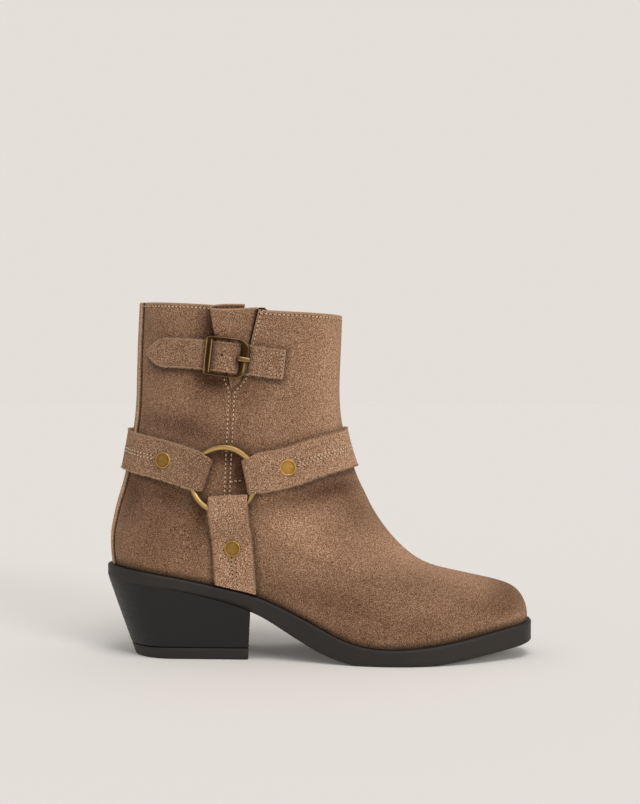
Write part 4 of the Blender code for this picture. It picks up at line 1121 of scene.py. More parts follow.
def makeBand(name, route, path, half, replaced, skew=None, trim=None, paleEnd=False, tone=((0.0, 0.0),)):
    path = np.array(path)  # along, out, thickness, how closely it hugs the upper, share of the width
    steps = unit(np.gradient(path[:, :2], axis=0))
    loops = []
    masks = {"edge": [], "shade": [], "tone": []}
    for (a, out, thick, hug, share), step in zip(path, steps):
        _, run, normal, _ = route.frameAt(a)
        face = normal * step[0] - run * step[1]
        wide = half(a) * share
        waver = edgeWaver(a)
        if wide > bandForm["narrow"]:
            offsets = acrossShares(wide)
        else:
            offsets = np.linspace(-wide, wide, bandForm["inner"] + 2 * len(bandForm["edge"]))
        left = np.clip((np.abs(offsets) - wide) / bandForm["edgeRound"] + 1.0, 0.0, 1.0)
        full = np.maximum((1.0 - left ** 3) ** 0.5, bandForm["flatSide"])
        low, high = trim(a) if trim else (0.0, 0.0)
        places = offsets + low * np.clip(-offsets / wide, 0.0, 1.0) ** 2
        places = places - high * np.clip(offsets / wide, 0.0, 1.0) ** 2
        top = []
        under = []
        for h, swell, end in zip(places, full, left):
            bulge = route.bulge(a, h)
            lift = out + (bulge if bulge > 0.0 else hug * bulge)
            slant = skew(a) * h if skew else 0.0
            centre = route.place(a + slant, h + waver * end * np.sign(h), lift)
            top.append(centre + face * 0.5 * thick * swell)
            under.append(centre - face * 0.5 * thick * swell)
        loops.append(top + under[::-1])
        pale = easeIn(left, *bandForm["pale"])
        if paleEnd:
            begin, end = bandForm["paleEnd"]
            pale = np.maximum(pale, easeIn(a, route.length - begin, route.length - end))
        # painted shade on the lower edge and the underside
        lower = bandForm["lowerShade"] * easeIn(left, *bandForm["lower"]) * (offsets < 0.0)
        masks["edge"].append(np.concatenate((pale, np.ones(len(pale)))))
        masks["shade"].append(np.concatenate((lower, np.full(len(pale), bandForm["underShade"]))))
        # tone along the strap: painted light and painted shade
        masks["tone"].append(np.full(2 * len(pale), np.interp(a / route.length, *zip(*tone))))
    return loopPiece(name, loops, strapSuede, "strap_suede", replaced=replaced, sharp=60.0, masks=masks)


ringForm = {
    "x": 23.0,
    "z": 111.9,
    "radius": 20.0,
    "wire": 1.85,
    "lift": 4.0,
    "steps": 144,
    "sides": 24,
    "wearAndHighlight": (0.2, 0.8),    # the least wear, and the painted highlight that the outward side adds
    "highlightTilt": 0.3,
}

harnessForm = {
    "half": 12.0,
    "thick": 2.3,
    "lift": 0.7,
    "foldThick": 1.3,
    "foldReach": 2.7,
    "foldSteps": 18,
    "foldEnd": 30.0,
    "outerStep": 1.2,
    "hiddenEnd": 18.0,
    "hiddenStart": 1.5,
    "hiddenSteps": 9,
    "hiddenShare": 0.8,    # the layer behind the ring is narrower
    "widenTurn": 0.6 * math.pi,
    "corner": (0.6, 2.8),  # the fold's lower and upper corners draw in by this much
    "cornerReach": 12.0,
    "foldOuter": ((10.0, 2.7, 1.3), (16.0, 1.4, 1.6)),   # along, height over the wire, thickness
    # angle round the shaft, and height
    "route": ((-80.5, 114.4), (-51, 118.6), (-24, 126.4), (0, 130.4), (90, 131.5), (180, 129.4),
              (203, 125.4), (216, 122.4), (243.5, 115.6)),
    "step": 1.6,
    "stayClear": (13.0, 26.0),
    # share of the way round, and tone: painted light, lighter where the strap crosses the front and darker
    # towards its rear end
    "tone": ((0.0, 0.08), (0.08, 0.0), (0.14, 0.06), (0.24, 0.26), (0.4, 0.04), (0.6, 0.0), (0.85, -0.09),
             (1.0, -0.15)),
}

lowerForm = {
    "half": 12.3,
    "top": (26.0, 102.0),
    "foot": (29.1, 52.0),
    "lie": 26.0,
    "rest": 8.9,
    "step": 1.4,
    "pastFoot": 0.1,
    "skew": 0.30,          # its foot is cut along the sole
    "skewFrom": 30.0,
    "corner": (0.3, 0.3),
    # tone: painted light, lighter all along
    "tone": ((0.0, 0.13),),
}


def ringFrame(reach=13.0):
    x = ringForm["x"]
    z = ringForm["z"]
    forward = sidePoint(x + reach, z) - sidePoint(x - reach, z)
    upward = sidePoint(x, z + reach) - sidePoint(x, z - reach)
    axis = unit(np.cross(forward, upward))
    return sidePoint(x, z) + axis * ringForm["lift"], axis


ringCentre, ringAxis = ringFrame()
lying = harnessForm["lift"] + 0.5 * harnessForm["thick"]


def wireHeight(route, a):
    point, _, normal, _ = route.frameAt(a)
    return float(np.dot(ringCentre - point, ringAxis) / np.dot(normal, ringAxis))


def foldPath(wire, lieAt):  # hidden layer, round the wire, and out to where the strap lies down
    reach = harnessForm["foldReach"]
    thick = harnessForm["foldThick"]
    narrow = harnessForm["hiddenShare"]
    begin = reach + harnessForm["hiddenStart"]
    hidden = np.linspace(harnessForm["hiddenEnd"], begin, harnessForm["hiddenSteps"])
    path = [(a, wire - reach, thick, 0.0, narrow) for a in hidden]
    for turn in np.linspace(0.0, math.pi, harnessForm["foldSteps"] + 1):
        share = narrow + (1.0 - narrow) * float(easeIn(turn, 0.0, harnessForm["widenTurn"]))
        path.append((reach * (1.0 - math.sin(turn)), wire - reach * math.cos(turn), thick, 0.0, share))
    rows = [(reach, reach, thick), *harnessForm["foldOuter"]]
    ats = [row[0] for row in rows] + [lieAt]
    outs = [wire + row[1] for row in rows] + [lying]
    thicks = [row[2] for row in rows] + [harnessForm["thick"]]
    step = harnessForm["outerStep"]
    for a in np.arange(reach + step, lieAt, step):
        hug = float(easeIn(a, rows[-1][0], lieAt))
        path.append((a, float(steady(ats, outs, a)), float(steady(ats, thicks, a)), hug, 1.0))
    return path


def harnessPath(route):
    reach = harnessForm["foldReach"]
    end = harnessForm["foldEnd"]
    front = foldPath(wireHeight(route, reach), end)
    back = foldPath(wireHeight(route, route.length - reach), end)
    path = list(front)
    clear, free = harnessForm["stayClear"]
    for a in np.arange(end, route.length - end, harnessForm["step"]):
        off = abs(shaftAngle(route.frameAt(a)[0], harnessForm["route"][0][0]) - 180.0)
        over = (stayForm["thick"] + 2.0 * stayForm["gap"]) * (1.0 - float(easeIn(off, clear, free)))
        path.append((a, lying + over, harnessForm["thick"], 1.0, 1.0))
    path += [(route.length - row[0], *row[1:]) for row in reversed(back)]
    return path


def makeRing():
    side = unit(np.cross((0.0, 0.0, 1.0), ringAxis))
    up = np.cross(ringAxis, side)
    loops = []
    masks = []
    least, more = ringForm["wearAndHighlight"]
    tilt = fullTurn(ringForm["sides"])
    wearAndHighlight = least + more * np.clip(np.sin(tilt - ringForm["highlightTilt"]), 0.0, 1.0) ** 2
    for turn in 2.0 * math.pi * np.arange(ringForm["steps"] + 1) / ringForm["steps"]:
        out = side * math.cos(turn) + up * math.sin(turn)
        loops.append([ringCentre + out * (ringForm["radius"] + ringForm["wire"] * math.cos(t))
                      + ringAxis * ringForm["wire"] * math.sin(t) for t in tilt])
        masks.append(wearAndHighlight)
    return loopPiece("harnessRing", loops, brass, "brass", replaced=("harness_ring",), caps=False,
                     masks={"wearAndHighlight": masks})


harnessRoute = shaftRoute(harnessForm["route"], samples=320)
lowerRoute = sideRoute(lowerForm["top"], lowerForm["foot"])


def foldTrim(corner, length=math.inf):  # without a length, only the first end is folded
    def trim(a):
        left = max(0.0, 1.0 - min(abs(a), abs(length - a)) / harnessForm["cornerReach"]) ** 2
        return corner[0] * left, corner[1] * left
    return trim


def harnessHalf(a):
    return harnessForm["half"]


def lowerHalf(a):
    return lowerForm["half"]


harnessPiece = makeBand(
    "harnessStrap", harnessRoute, harnessPath(harnessRoute), harnessHalf, ("harness_strap",),
    trim=foldTrim(harnessForm["corner"], harnessRoute.length), tone=harnessForm["tone"],
)
lowerFoot = lowerRoute.length + lowerForm["rest"]
lowerPath = foldPath(wireHeight(lowerRoute, 2.0 * harnessForm["foldReach"]), lowerForm["lie"])
for a in np.arange(lowerForm["lie"], lowerFoot + lowerForm["pastFoot"], lowerForm["step"]):
    lowerPath.append((a, lying, harnessForm["thick"], 1.0, 1.0))


def lowerSlant(a):
    begin = lowerForm["skewFrom"]
    return lowerForm["skew"] * float(np.clip((a - begin) / (lowerFoot - begin), 0.0, 1.0))


lowerPiece = makeBand(
    "lowerStrap", lowerRoute, lowerPath, lowerHalf, ("lower_strap",),
    skew=lowerSlant, trim=foldTrim(lowerForm["corner"]), tone=lowerForm["tone"],
)
ringPiece = makeRing()
print("harness straps and ring made")


# Rivets: flat caps with a bright raised rim

rivetForm = {
    "radius": 5.0,
    "sides": 56,
    # height, share of the radius and wear, from the foot of the cap to its middle
    "profile": ((-0.9, 0.98, 0.0), (0.5, 1.0, 0.1), (0.85, 0.995, 0.6), (1.1, 0.965, 1.0),
                (1.2, 0.92, 1.0), (1.16, 0.88, 0.8), (1.04, 0.85, 0.15), (1.02, 0.82, 0.25),
                (1.06, 0.55, 0.42), (1.09, 0.25, 0.45), (1.09, 0.02, 0.45)),
    "front": -48.8,
    "back": 212.6,
    "lowerZ": 70.0,
}


def makeRivet(name, route, tree, a, node):
    _, run, normal, side = route.frameAt(a)
    centre = strapFace(tree, route, a, 0.0)
    turns = fullTurn(rivetForm["sides"])
    loops = []
    masks = []
    for height, share, wearAndHighlightAmount in rivetForm["profile"]:
        radius = rivetForm["radius"] * share
        loops.append([centre + normal * height + radius * (run * math.cos(t) + side * math.sin(t))
                      for t in turns])
        masks.append(np.full(len(turns), wearAndHighlightAmount))
    return loopPiece(name, loops, rivetBrass, "brass", replaced=(node,), sharp=60.0,
                     masks={"wearAndHighlight": masks})


def distanceAtAngle(route, angle, lowest):
    angles = [shaftAngle(point, lowest) for point in route.points]
    return float(np.interp(angle, angles, route.along))


harnessTree = faceTree(harnessPiece)
lowerTree = faceTree(lowerPiece)
lowestAngle = harnessForm["route"][0][0]
rivetFrontAt = distanceAtAngle(harnessRoute, rivetForm["front"], lowestAngle)
rivetBackAt = distanceAtAngle(harnessRoute, rivetForm["back"], lowestAngle)
rivetLowerAt = float(np.interp(-rivetForm["lowerZ"], -lowerRoute.points[:, 2], lowerRoute.along))
makeRivet("rivetFront", harnessRoute, harnessTree, rivetFrontAt, "rivet_front")
makeRivet("rivetBack", harnessRoute, harnessTree, rivetBackAt, "rivet_back")
makeRivet("rivetLower", lowerRoute, lowerTree, rivetLowerAt, "rivet_lower")
print("rivets made")


# Buckle strap, frame and prong

buckleForm = {
    # angle round the shaft, and height
    "route": ((-163.5, 190.4), (-130, 189.0), (-98, 186.5), (-50, 182.2)),
    "angle": -97.5,
    "half": 8.8,
    "thick": 1.7,
    "tip": 17.0,
    "tipShare": 0.12,
    "tipRows": (0.0, 1.0, 5),
    "firstRow": 1.6,
    "step": 0.9,
    # tone: painted shade, darker all along
    "tone": ((0.0, -0.11),),
    # along from the buckle's middle, and height
    "lifts": ((-80, 1.25), (-30, 1.25), (-19, 2.5), (-13, 3.6), (-8.6, 3.9), (-4.5, 5.5), (0, 6.2),
              (4.5, 5.5), (8, 3.9), (13, 3.5), (19, 2.4), (28, 1.25), (60, 1.25)),
    "halfHeight": 11.4,
    "rail": 1.4,
    "frameThick": 1.8,
    "frameLift": 4.95,
    "arch": 0.8,
    "bow": 0.05,           # the rails bow out by this share
    "leftBar": (-13.0, -8.8),
    "rightBar": (8.0, 13.2),
    "outerCorners": (1.2, 6.6),
    "windowCorners": (0.6, 3.6),
    # share from the outer edge to the window, and height as a share of the frame's thickness
    "frameProfile": (
        (0.02, 0.0), (0.0, 0.25), (0.0, 0.66), (0.05, 0.88), (0.14, 1.0), (0.24, 1.02), (0.31, 0.98),
        (0.37, 0.98), (0.5, 1.0), (0.63, 0.98), (0.69, 0.98), (0.76, 1.02), (0.86, 1.0), (0.95, 0.88),
        (1.0, 0.66), (1.0, 0.25), (0.98, 0.0),
    ),
    # where each bar's face begins along, and ends across
    "onLeft": ((-8.9, -8.4), (9.6, 10.2)),
    "onRight": ((6.5, 8.5), (7.0, 9.5)),
    "hollow": (0.7, (0.2, 0.34), (0.66, 0.8)),      # depth of the left bar's face, and its shares
    "rounding": 0.9,                                # of the right bar, above this height
    "roundAbove": 0.5,
    "wornAbove": (0.7, 1.0),
    "wornRims": (0.17, 0.83, 0.08),                 # shares of both rims, and half width
    "railWorn": 0.6,
    "rightWorn": 0.3,
    # painted highlight: a bright streak down the right bar
    "streak": (0.45, 0.1),
    "streakAcross": (-4.0, 1.0),
    "streakHighlight": 0.7,
    "barRadius": 0.85,
    "barSides": 12,
    "barRows": (5, 20),                             # of each leg, and under the strap
    "barClear": 0.6,
    "barLifts": (6.65, 4.1),                        # at the rails, and under the strap
    "barWorn": 0.3,
    "prong": ((7.0, 3.9), (7.0, 6.8), (7.9, 8.1), (9.4, 8.4), (12.2, 8.1), (13.8, 7.8)),
    "prongHalf": 1.5,
    "prongThick": 1.5,
    "prongRows": 40,
    "prongSides": 20,
    "prongTaper": (0.25, 0.5),
    "prongTip": (0.96, 1.0),
    "prongSquare": (0.5, 0.7),
    "prongWorn": (0.25, 0.65),
    "prongWornFrom": -0.2,
    "eyelet": (-2.6, 1.1, 1.0, 20),     # along, across, radius and sides of the spare hole
}
buckleRoute = shaftRoute(buckleForm["route"], samples=240)
buckleMiddle = distanceAtAngle(buckleRoute, buckleForm["angle"], -180.0)


def buckleHalf(a):
    left = max(0.0, 1.0 - a / buckleForm["tip"])
    return buckleForm["half"] * max(buckleForm["tipShare"], 1.0 - left ** 2.0)


def makeBuckleStrap():
    end = buckleRoute.length
    tip = np.linspace(*buckleForm["tipRows"])
    path = []
    for a in (*tip, *np.arange(buckleForm["firstRow"], end, buckleForm["step"]), end):
        out = float(steady(*zip(*buckleForm["lifts"]), a - buckleMiddle))
        path.append((a, out, buckleForm["thick"], 1.0, 1.0))
    return makeBand("buckleStrap", buckleRoute, path, buckleHalf, ("buckle_strap",), paleEnd=True,
                    tone=buckleForm["tone"])


def frameOutline(low, high, half, corners, steps=10, straight=12):
    left, right = corners
    stops = ((high - right, half - right, right, 0.0), (low + left, half - left, left, 90.0),
             (low + left, left - half, left, 180.0), (high - right, right - half, right, 270.0))
    outline = []
    for along, across, radius, start in stops:
        for step in range(steps + 1):
            turn = math.radians(start + 90.0 * step / steps)
            outline.append((along + radius * math.cos(turn), across + radius * math.sin(turn)))
    filled = []
    for i, point in enumerate(outline):  # points along the straights as well
        after = outline[(i + 1) % len(outline)]
        count = straight if i % (steps + 1) == steps else 1
        for j in range(count):
            filled.append([point[k] + (after[k] - point[k]) * j / count for k in (0, 1)])
    return np.array(filled)


def frameWearAndHighlight(share, height, across, onLeft, onRight):  # bright worn rims, and a painted highlight streak on the right bar
    rimAt, farAt, width = buckleForm["wornRims"]
    least = buckleForm["railWorn"]
    rim = bell(share, rimAt, width) * (1.0 - (1.0 - buckleForm["rightWorn"]) * onRight)
    rim = rim * (least + (1.0 - least) * onLeft)
    streak = onRight * bell(share, *buckleForm["streak"]) * easeOut(across, *buckleForm["streakAcross"])
    brightest = max(rim, bell(share, farAt, width) * onLeft, buckleForm["streakHighlight"] * streak)
    return float(easeIn(height, *buckleForm["wornAbove"]) * brightest)


def makeFrame():
    low, windowLow = buckleForm["leftBar"]
    windowHigh, high = buckleForm["rightBar"]
    half = buckleForm["halfHeight"]
    outer = frameOutline(low, high, half, buckleForm["outerCorners"])
    window = frameOutline(windowLow, windowHigh, half - buckleForm["rail"], buckleForm["windowCorners"])
    leftAlong, leftAcross = buckleForm["onLeft"]
    rightAlong, rightAcross = buckleForm["onRight"]
    depth, begin, end = buckleForm["hollow"]
    loops = []
    masks = []
    for share, height in buckleForm["frameProfile"]:
        hollow = depth * easeIn(share, *begin) * easeOut(share, *end)
        fall = 1.0 - math.sqrt(max(0.0, 1.0 - (2.0 * share - 1.0) ** 2))
        rounding = buckleForm["rounding"] * fall if height > buckleForm["roundAbove"] else 0.0
        loop = []
        mask = []
        for edge, inner in zip(outer, window):
            along, across = edge + share * (inner - edge)
            central = 1.0 - (along / high) ** 2
            across *= 1.0 + buckleForm["bow"] * central
            onLeft = easeOut(along, *leftAlong) * easeOut(abs(across), *leftAcross)
            onRight = easeIn(along, *rightAlong) * easeOut(abs(across), *rightAcross)
            lift = buckleForm["frameLift"] + buckleForm["arch"] * central
            lift = lift + height * buckleForm["frameThick"]
            lift = lift - hollow * onLeft - rounding * onRight
            loop.append(buckleRoute.place(buckleMiddle + along, across, lift))
            mask.append(frameWearAndHighlight(share, height, across, onLeft, onRight))
        loops.append(loop)
        masks.append(mask)
    loops.append(loops[0])
    masks.append(masks[0])
    return loopPiece("buckleFrame", loops, buckleBrass, "brass", replaced=("buckle_frame",), caps=False,
                     masks={"wearAndHighlight": masks})


def makeCentreBar():
    radius = buckleForm["barRadius"]
    end = buckleForm["halfHeight"] - 0.5 * buckleForm["rail"]
    bend = buckleForm["half"] + buckleForm["barClear"]
    endLift, lowLift = buckleForm["barLifts"]
    stops = ((-end, endLift), (-bend, lowLift), (bend, lowLift), (end, endLift))
    legRows, underRows = buckleForm["barRows"]
    leg = np.linspace(bend, end, legRows)
    turns = fullTurn(buckleForm["barSides"])
    loops = []
    for h in (*-leg[::-1], *np.linspace(-bend, bend, underRows)[1:-1], *leg):
        lift = float(np.interp(h, *zip(*stops)))
        circle = [(radius * math.cos(t), lift + radius * math.sin(t)) for t in turns]
        loops.append([buckleRoute.place(buckleMiddle + along, h, out) for along, out in circle])
    wearAndHighlight = np.full((len(loops), len(turns)), buckleForm["barWorn"])
    loopPiece("buckleCentreBar", loops, buckleBrass, "brass", masks={"wearAndHighlight": wearAndHighlight})


def squared(value, power):  # draws a circle towards a square
    return np.sign(value) * abs(value) ** power


def makeProng():
    rows = np.array(buckleForm["prong"])
    reach = reachOf(rows)
    at = np.linspace(0.0, reach[-1], buckleForm["prongRows"])
    path = np.stack((steady(reach, rows[:, 0], at), steady(reach, rows[:, 1], at)), axis=1)
    steps = unit(np.gradient(path, axis=0))
    turns = fullTurn(buckleForm["prongSides"])
    slim, pointed = buckleForm["prongTaper"]
    acrossPower, upPower = buckleForm["prongSquare"]
    least, more = buckleForm["prongWorn"]
    wearAndHighlight = least + more * np.abs(np.cos(turns)) * (np.sin(turns) > buckleForm["prongWornFrom"])
    section = [(squared(math.cos(t), acrossPower), squared(math.sin(t), upPower)) for t in turns]
    loops = []
    for (along, out), step, share in zip(path, steps, np.linspace(0.0, 1.0, len(path))):
        _, run, normal, side = buckleRoute.frameAt(buckleMiddle + along)
        face = normal * step[0] - run * step[1]
        taper = 1.0 - slim * share ** 3 - pointed * float(easeIn(share, *buckleForm["prongTip"]))
        centre = buckleRoute.place(buckleMiddle + along, 0.0, out)
        wide = side * buckleForm["prongHalf"] * taper
        tall = face * 0.5 * buckleForm["prongThick"] * taper
        loops.append([centre + wide * across + tall * up for across, up in section])
    return loopPiece("buckleProng", loops, buckleBrass, "brass", replaced=("buckle_prong",),
                     masks={"wearAndHighlight": np.tile(wearAndHighlight, (len(loops), 1))})


buckleStrapPiece = makeBuckleStrap()
buckleTree = faceTree(buckleStrapPiece)
framePiece = makeFrame()
makeCentreBar()
prongPiece = makeProng()
print("buckle made")


# Painted shadows where one piece lies on another

contactShadowForm = {
    "straps": (5.0, 0.85),    # reach from the edge, and amount at the edge
    "frame": (4.0, 0.8),
    "ring": (4.5, 0.2),
    "pleat": (6.0, 0.62),
    "above": 0.7,              # share of the painted shadow that only pieces above the spot cast, as under light from above
}


# paints shadow on a piece's shade mask beside the pieces that lie over it
def paintContactShadows(piece, others, reach, amount):
    trees = [faceTree(other) for other in others]
    layer = piece.data.attributes["shade"].data
    for vertex, value in zip(piece.data.vertices, layer):
        place = vertex.co / mm
        left = 1.0 - value.value
        for tree in trees:
            near, _, _, distance = tree.find_nearest(place, reach)
            if near is None:
                continue
            above = 0.5 + 0.5 * (near.z - place.z) / max(distance, 0.01)
            share = 1.0 - contactShadowForm["above"] * (1.0 - above)
            left *= 1.0 - amount * share * (1.0 - distance / reach)
        value.value = 1.0 - left


overUpper = (harnessPiece, lowerPiece, buckleStrapPiece, ringPiece, framePiece)
paintContactShadows(upperPiece, overUpper, *contactShadowForm["straps"])
paintContactShadows(gussetPiece, (buckleStrapPiece, framePiece), *contactShadowForm["pleat"])
paintContactShadows(buckleStrapPiece, (framePiece, prongPiece), *contactShadowForm["frame"])
paintContactShadows(harnessPiece, (ringPiece,), *contactShadowForm["ring"])
print("contact lines marked")


# Sole, heel and footbed

def acrossGrid(ring, inner, lift):  # rows from each point of a ring to the one that faces it
    count = len(ring)
    rows = []
    for i in range(1, (count + 1) // 2):
        shares = np.linspace(0.0, 1.0, inner + 2)[:, None]
        row = ring[i] + shares * (ring[count - i] - ring[i])
        row[:, 2] += lift(row[:, 0], row[:, 1], shares[:, 0])
        rows.append(row)
    return np.array(rows)


def noLift(x, y, share):
    return 0.0


def plate(name, loops, inner, liftFirst, liftLast, *finish, **options):  # rings closed at both ends
    loops = np.asarray(loops)
    rows, count = loops.shape[:2]
    points = [loops.reshape(-1, 3)]
    faces = gridFaces(rows, count, wrap=True)
    total = rows * count
    for base, ring, lift in ((0, loops[0], liftFirst), ((rows - 1) * count, loops[-1], liftLast)):
        grid = acrossGrid(ring, inner, lift)
        number = np.zeros(grid.shape[:2], int)
        number[:, 0] = base + np.arange(1, len(grid) + 1)
        number[:, -1] = base + count - np.arange(1, len(grid) + 1)
        number[:, 1:-1] = total + np.arange(len(grid) * inner).reshape(len(grid), inner)
        number = number.tolist()
        total += len(grid) * inner
        points.append(grid[:, 1:-1].reshape(-1, 3))
        for one, two in zip(number, number[1:]):
            faces += [[one[j], one[j + 1], two[j + 1], two[j]] for j in range(inner + 1)]
        faces += [[base, *pair] for pair in zip(number[0], number[0][1:])]
        if count % 2 == 0:
            faces += [[base + count // 2, *pair] for pair in zip(number[-1], number[-1][1:])]
    points = np.concatenate(points)
    return addPiece(name, points, faces, *finish, masks={"shade": np.zeros(len(points))}, **options)


def treadGroove(form):
    def lift(x, y, share):
        phase = (x + form["chevron"] * np.abs(share - 0.5)) / form["pitch"]
        wave = easeIn(np.cos(2.0 * math.pi * phase), *form["wave"])
        inside = easeIn(np.minimum(share, 1.0 - share), *form["margin"])
        return form["depth"] * wave * inside * easeIn(x, *form["begin"]) * easeOut(x, *form["end"])
    return lift


outsoleForm = {
    "points": 320,
    "inner": 40,
    # inset, share of the way from the tread up to the seat, and height over that
    "profile": (
        (3.2, 0.0, 0.0), (1.7, 0.0, 0.0), (0.9, 0.0, 0.15), (0.3, 0.0, 0.5), (0.05, 0.0, 1.0),
        (0.1, 0.3, 0.0), (0.1, 0.5, 0.0), (0.1, 0.7, 0.0),
        (0.0, 1.0, -1.5), (0.06, 1.0, -0.9), (0.3, 1.0, -0.4), (0.75, 1.0, -0.1), (1.3, 1.0, 0.0),
        (2.2, 1.0, 0.0),
    ),
    "groove": {
        "pitch": 5.2, "chevron": 6.0, "depth": 0.9, "wave": (0.2, 0.6), "margin": (0.09, 0.13),
        "begin": (70.0, 74.0), "end": (204.0, 208.0),
    },
}


def soleRing(inset, share, up):
    theta = fullTurn(outsoleForm["points"])
    along = 0.5 * (1.0 - np.cos(theta))
    x = soleForm["back"] + inset + along * (soleForm["tip"] - soleForm["back"] - 2.0 * inset)
    half = halfWidth(soleOutline, along)
    half = half - np.minimum(inset, half)
    y = middleLine(along) - np.sign(np.sin(theta)) * half
    z = treadHeight(x) + share * (seatHeight(x) - treadHeight(x)) + up
    return np.stack((x, y, z), axis=-1)


def makeOutsole():
    loops = [soleRing(*row) for row in outsoleForm["profile"]]
    return plate("outsoleUnit", loops, outsoleForm["inner"], treadGroove(outsoleForm["groove"]), noLift,
                 soleRubber, "sole_rubber", replaced=("outsole",), sharp=60.0)


heelForm = {
    "breast": 38.6,
    "footBack": -36.2,
    "footBreast": 37.0,
    "footHalf": 27.0,
    "inset": 0.3,
    "foot": 7.5,        # the block ends here, over its wearing piece
    "bevel": (0.6, 0.5),
    "tuck": 0.7,        # its top reaches this far into the sole
    "points": 70,
    "rows": 82,
    "lastRow": 0.98,
    "inner": 6,
    "corner": 0.6,      # the breast's corners are rounded by this radius
    "skew": 4.0,        # the breast's inner end lies this far back
    "layers": 9,        # faint lines of the stacked block
    "layerDepth": 0.07,
    "layerWave": (0.3, 1.0),
    # wearing piece: height and inset
    "topProfile": ((7.2, 0.5), (6.6, 0.0), (5.0, 0.0), (3.5, 0.0), (2.0, 0.0), (1.0, 0.0), (0.35, 0.25),
                   (0.0, 0.9)),
    "topInner": 24,
    "groove": {
        "pitch": 4.6, "chevron": 0.0, "depth": 0.8, "wave": (0.3, 0.7), "margin": (0.08, 0.12),
        "begin": (-30.0, -27.0), "end": (30.0, 33.0),
    },
}


def heelRing(share, height, shrink=0.0):
    def mix(top, foot):
        return top + share * (foot - top)

    back = mix(soleForm["back"] + heelForm["inset"], heelForm["footBack"]) + shrink
    breast = mix(heelForm["breast"], heelForm["footBreast"]) - shrink
    half = mix(soleOutline["heel"] - heelForm["inset"], heelForm["footHalf"]) - shrink
    roundLen = mix(soleOutline["backLen"], heelForm["footHalf"])
    turn = 1.0 - np.cos(0.5 * math.pi * np.arange(heelForm["points"]) / (heelForm["points"] - 1))
    corner = heelForm["corner"]
    sides = []
    for way, end in ((-1.0, breast), (1.0, breast - heelForm["skew"])):
        x = back + turn * (end - back)
        rounding = np.clip((x - end) / corner + 1.0, 0.0, 1.0)
        reach = half * roundedEnd(x - back, roundLen, 2.0) - corner * (1.0 - np.sqrt(1.0 - rounding ** 2))
        middle = middleLine((x - soleForm["back"]) / (soleForm["tip"] - soleForm["back"]))
        sides.append(np.stack((x, middle + way * reach, height(x)), axis=-1))
    return np.concatenate((sides[0], sides[1][:0:-1]))


def heelShare(z):
    return 1.0 - z / treadHeight(soleForm["back"])


def towards(share, z):  # heights a share of the way from the sole's underside to a level
    return lambda x: (1.0 - share) * treadHeight(x) + share * z


def levelRing(z, shrink=0.0):
    return heelRing(heelShare(z), towards(1.0, z), shrink)


def makeHeel():
    foot = heelForm["foot"]
    bevel, bevelInset = heelForm["bevel"]
    low = foot + bevel
    block = [heelRing(0.0, lambda x: treadHeight(x) + heelForm["tuck"])]
    for share in np.linspace(0.0, heelForm["lastRow"], heelForm["rows"]):
        wave = math.cos(2.0 * math.pi * heelForm["layers"] * share)
        layer = heelForm["layerDepth"] * float(easeIn(wave, *heelForm["layerWave"]))
        block.append(heelRing(share * heelShare(low), towards(share, low), layer))
    block += [levelRing(low), levelRing(foot, bevelInset)]
    plate("heelBlock", block, heelForm["inner"], noLift, noLift, heelRubber, "sole_rubber",
          replaced=("heel_block",), sharp=60.0)
    piece = [levelRing(*row) for row in heelForm["topProfile"]]
    plate("heelTopPiece", piece, heelForm["topInner"], noLift, treadGroove(heelForm["groove"]),
          soleRubber, "sole_rubber", replaced=("heel_top_piece",), sharp=60.0)


footbedForm = {
    "points": 220,
    "inner": 26,
    "thick": 3.0,
    "clear": 2.6,
    "edgeRound": (0.5, 0.25),     # in, and up
    "cup": 1.2,                   # the footbed's edge stands this much higher than its middle
    "cupPower": 0.7,
}


def makeFootbed():
    theta = fullTurn(footbedForm["points"])
    normals = unit(np.cross(lastRun(0.0, theta), (0.0, 0.0, 1.0)))
    ring = lastRing(0.0, theta) - footbedForm["clear"] * normals
    inward, up = footbedForm["edgeRound"]
    top = ring + np.array((0.0, 0.0, footbedForm["thick"]))
    rounded = ring - inward * normals + np.array((0.0, 0.0, footbedForm["thick"] + up))

    def cupped(x, y, share):
        return -footbedForm["cup"] * (4.0 * share * (1.0 - share)) ** footbedForm["cupPower"]

    return plate("footbedSock", (ring, top, rounded), footbedForm["inner"], noLift, cupped, footbed,
                 "footbed", replaced=("insole",))


makeOutsole()
makeHeel()
makeFootbed()
print("sole, heel and footbed made")


# Stitching: joined meshes of short bowed stitches, with a dark disc between each two that paints the shade
# of the needle hole

stitchForm = {
    "pitch": 2.75,
    "length": 1.95,
    "radius": 0.36,
    "rise": 0.12,
    "dip": 0.32,
    "blunt": 0.12,         # share of the thickness squared that is left at the ends
    "runReach": 0.4,
    "rings": (-1.0, -0.85, -0.45, 0.0, 0.45, 0.85, 1.0),
    "sides": 7,
    "hole": 0.42,
    "holeLift": 0.02,      # over the face, and a little more in the middle
    "holeMiddle": 0.05,
    "askew": (0.3, 0.2, 0.9),   # a direction that no sewn face looks in
    "rowStep": 0.7,
    "endClear": 0.3,       # share of the pitch left free at a row's end
}


def resample(points, normals, pitch, phase):
    points = np.asarray(points)
    normals = np.asarray(normals)
    reach = reachOf(points)
    at = np.arange(pitch * (0.5 + phase), reach[-1] - stitchForm["endClear"] * pitch, pitch)
    near = stitchForm["runReach"]
    runs = unit(readAlong(at + near, reach, points) - readAlong(at - near, reach, points))
    holes = np.concatenate((at - 0.5 * pitch, at[-1:] + 0.5 * pitch)) if len(at) else at
    stitches = readAlong(at, reach, points), runs, unit(readAlong(at, reach, normals))
    return stitches, (readAlong(holes, reach, points), unit(readAlong(holes, reach, normals)))


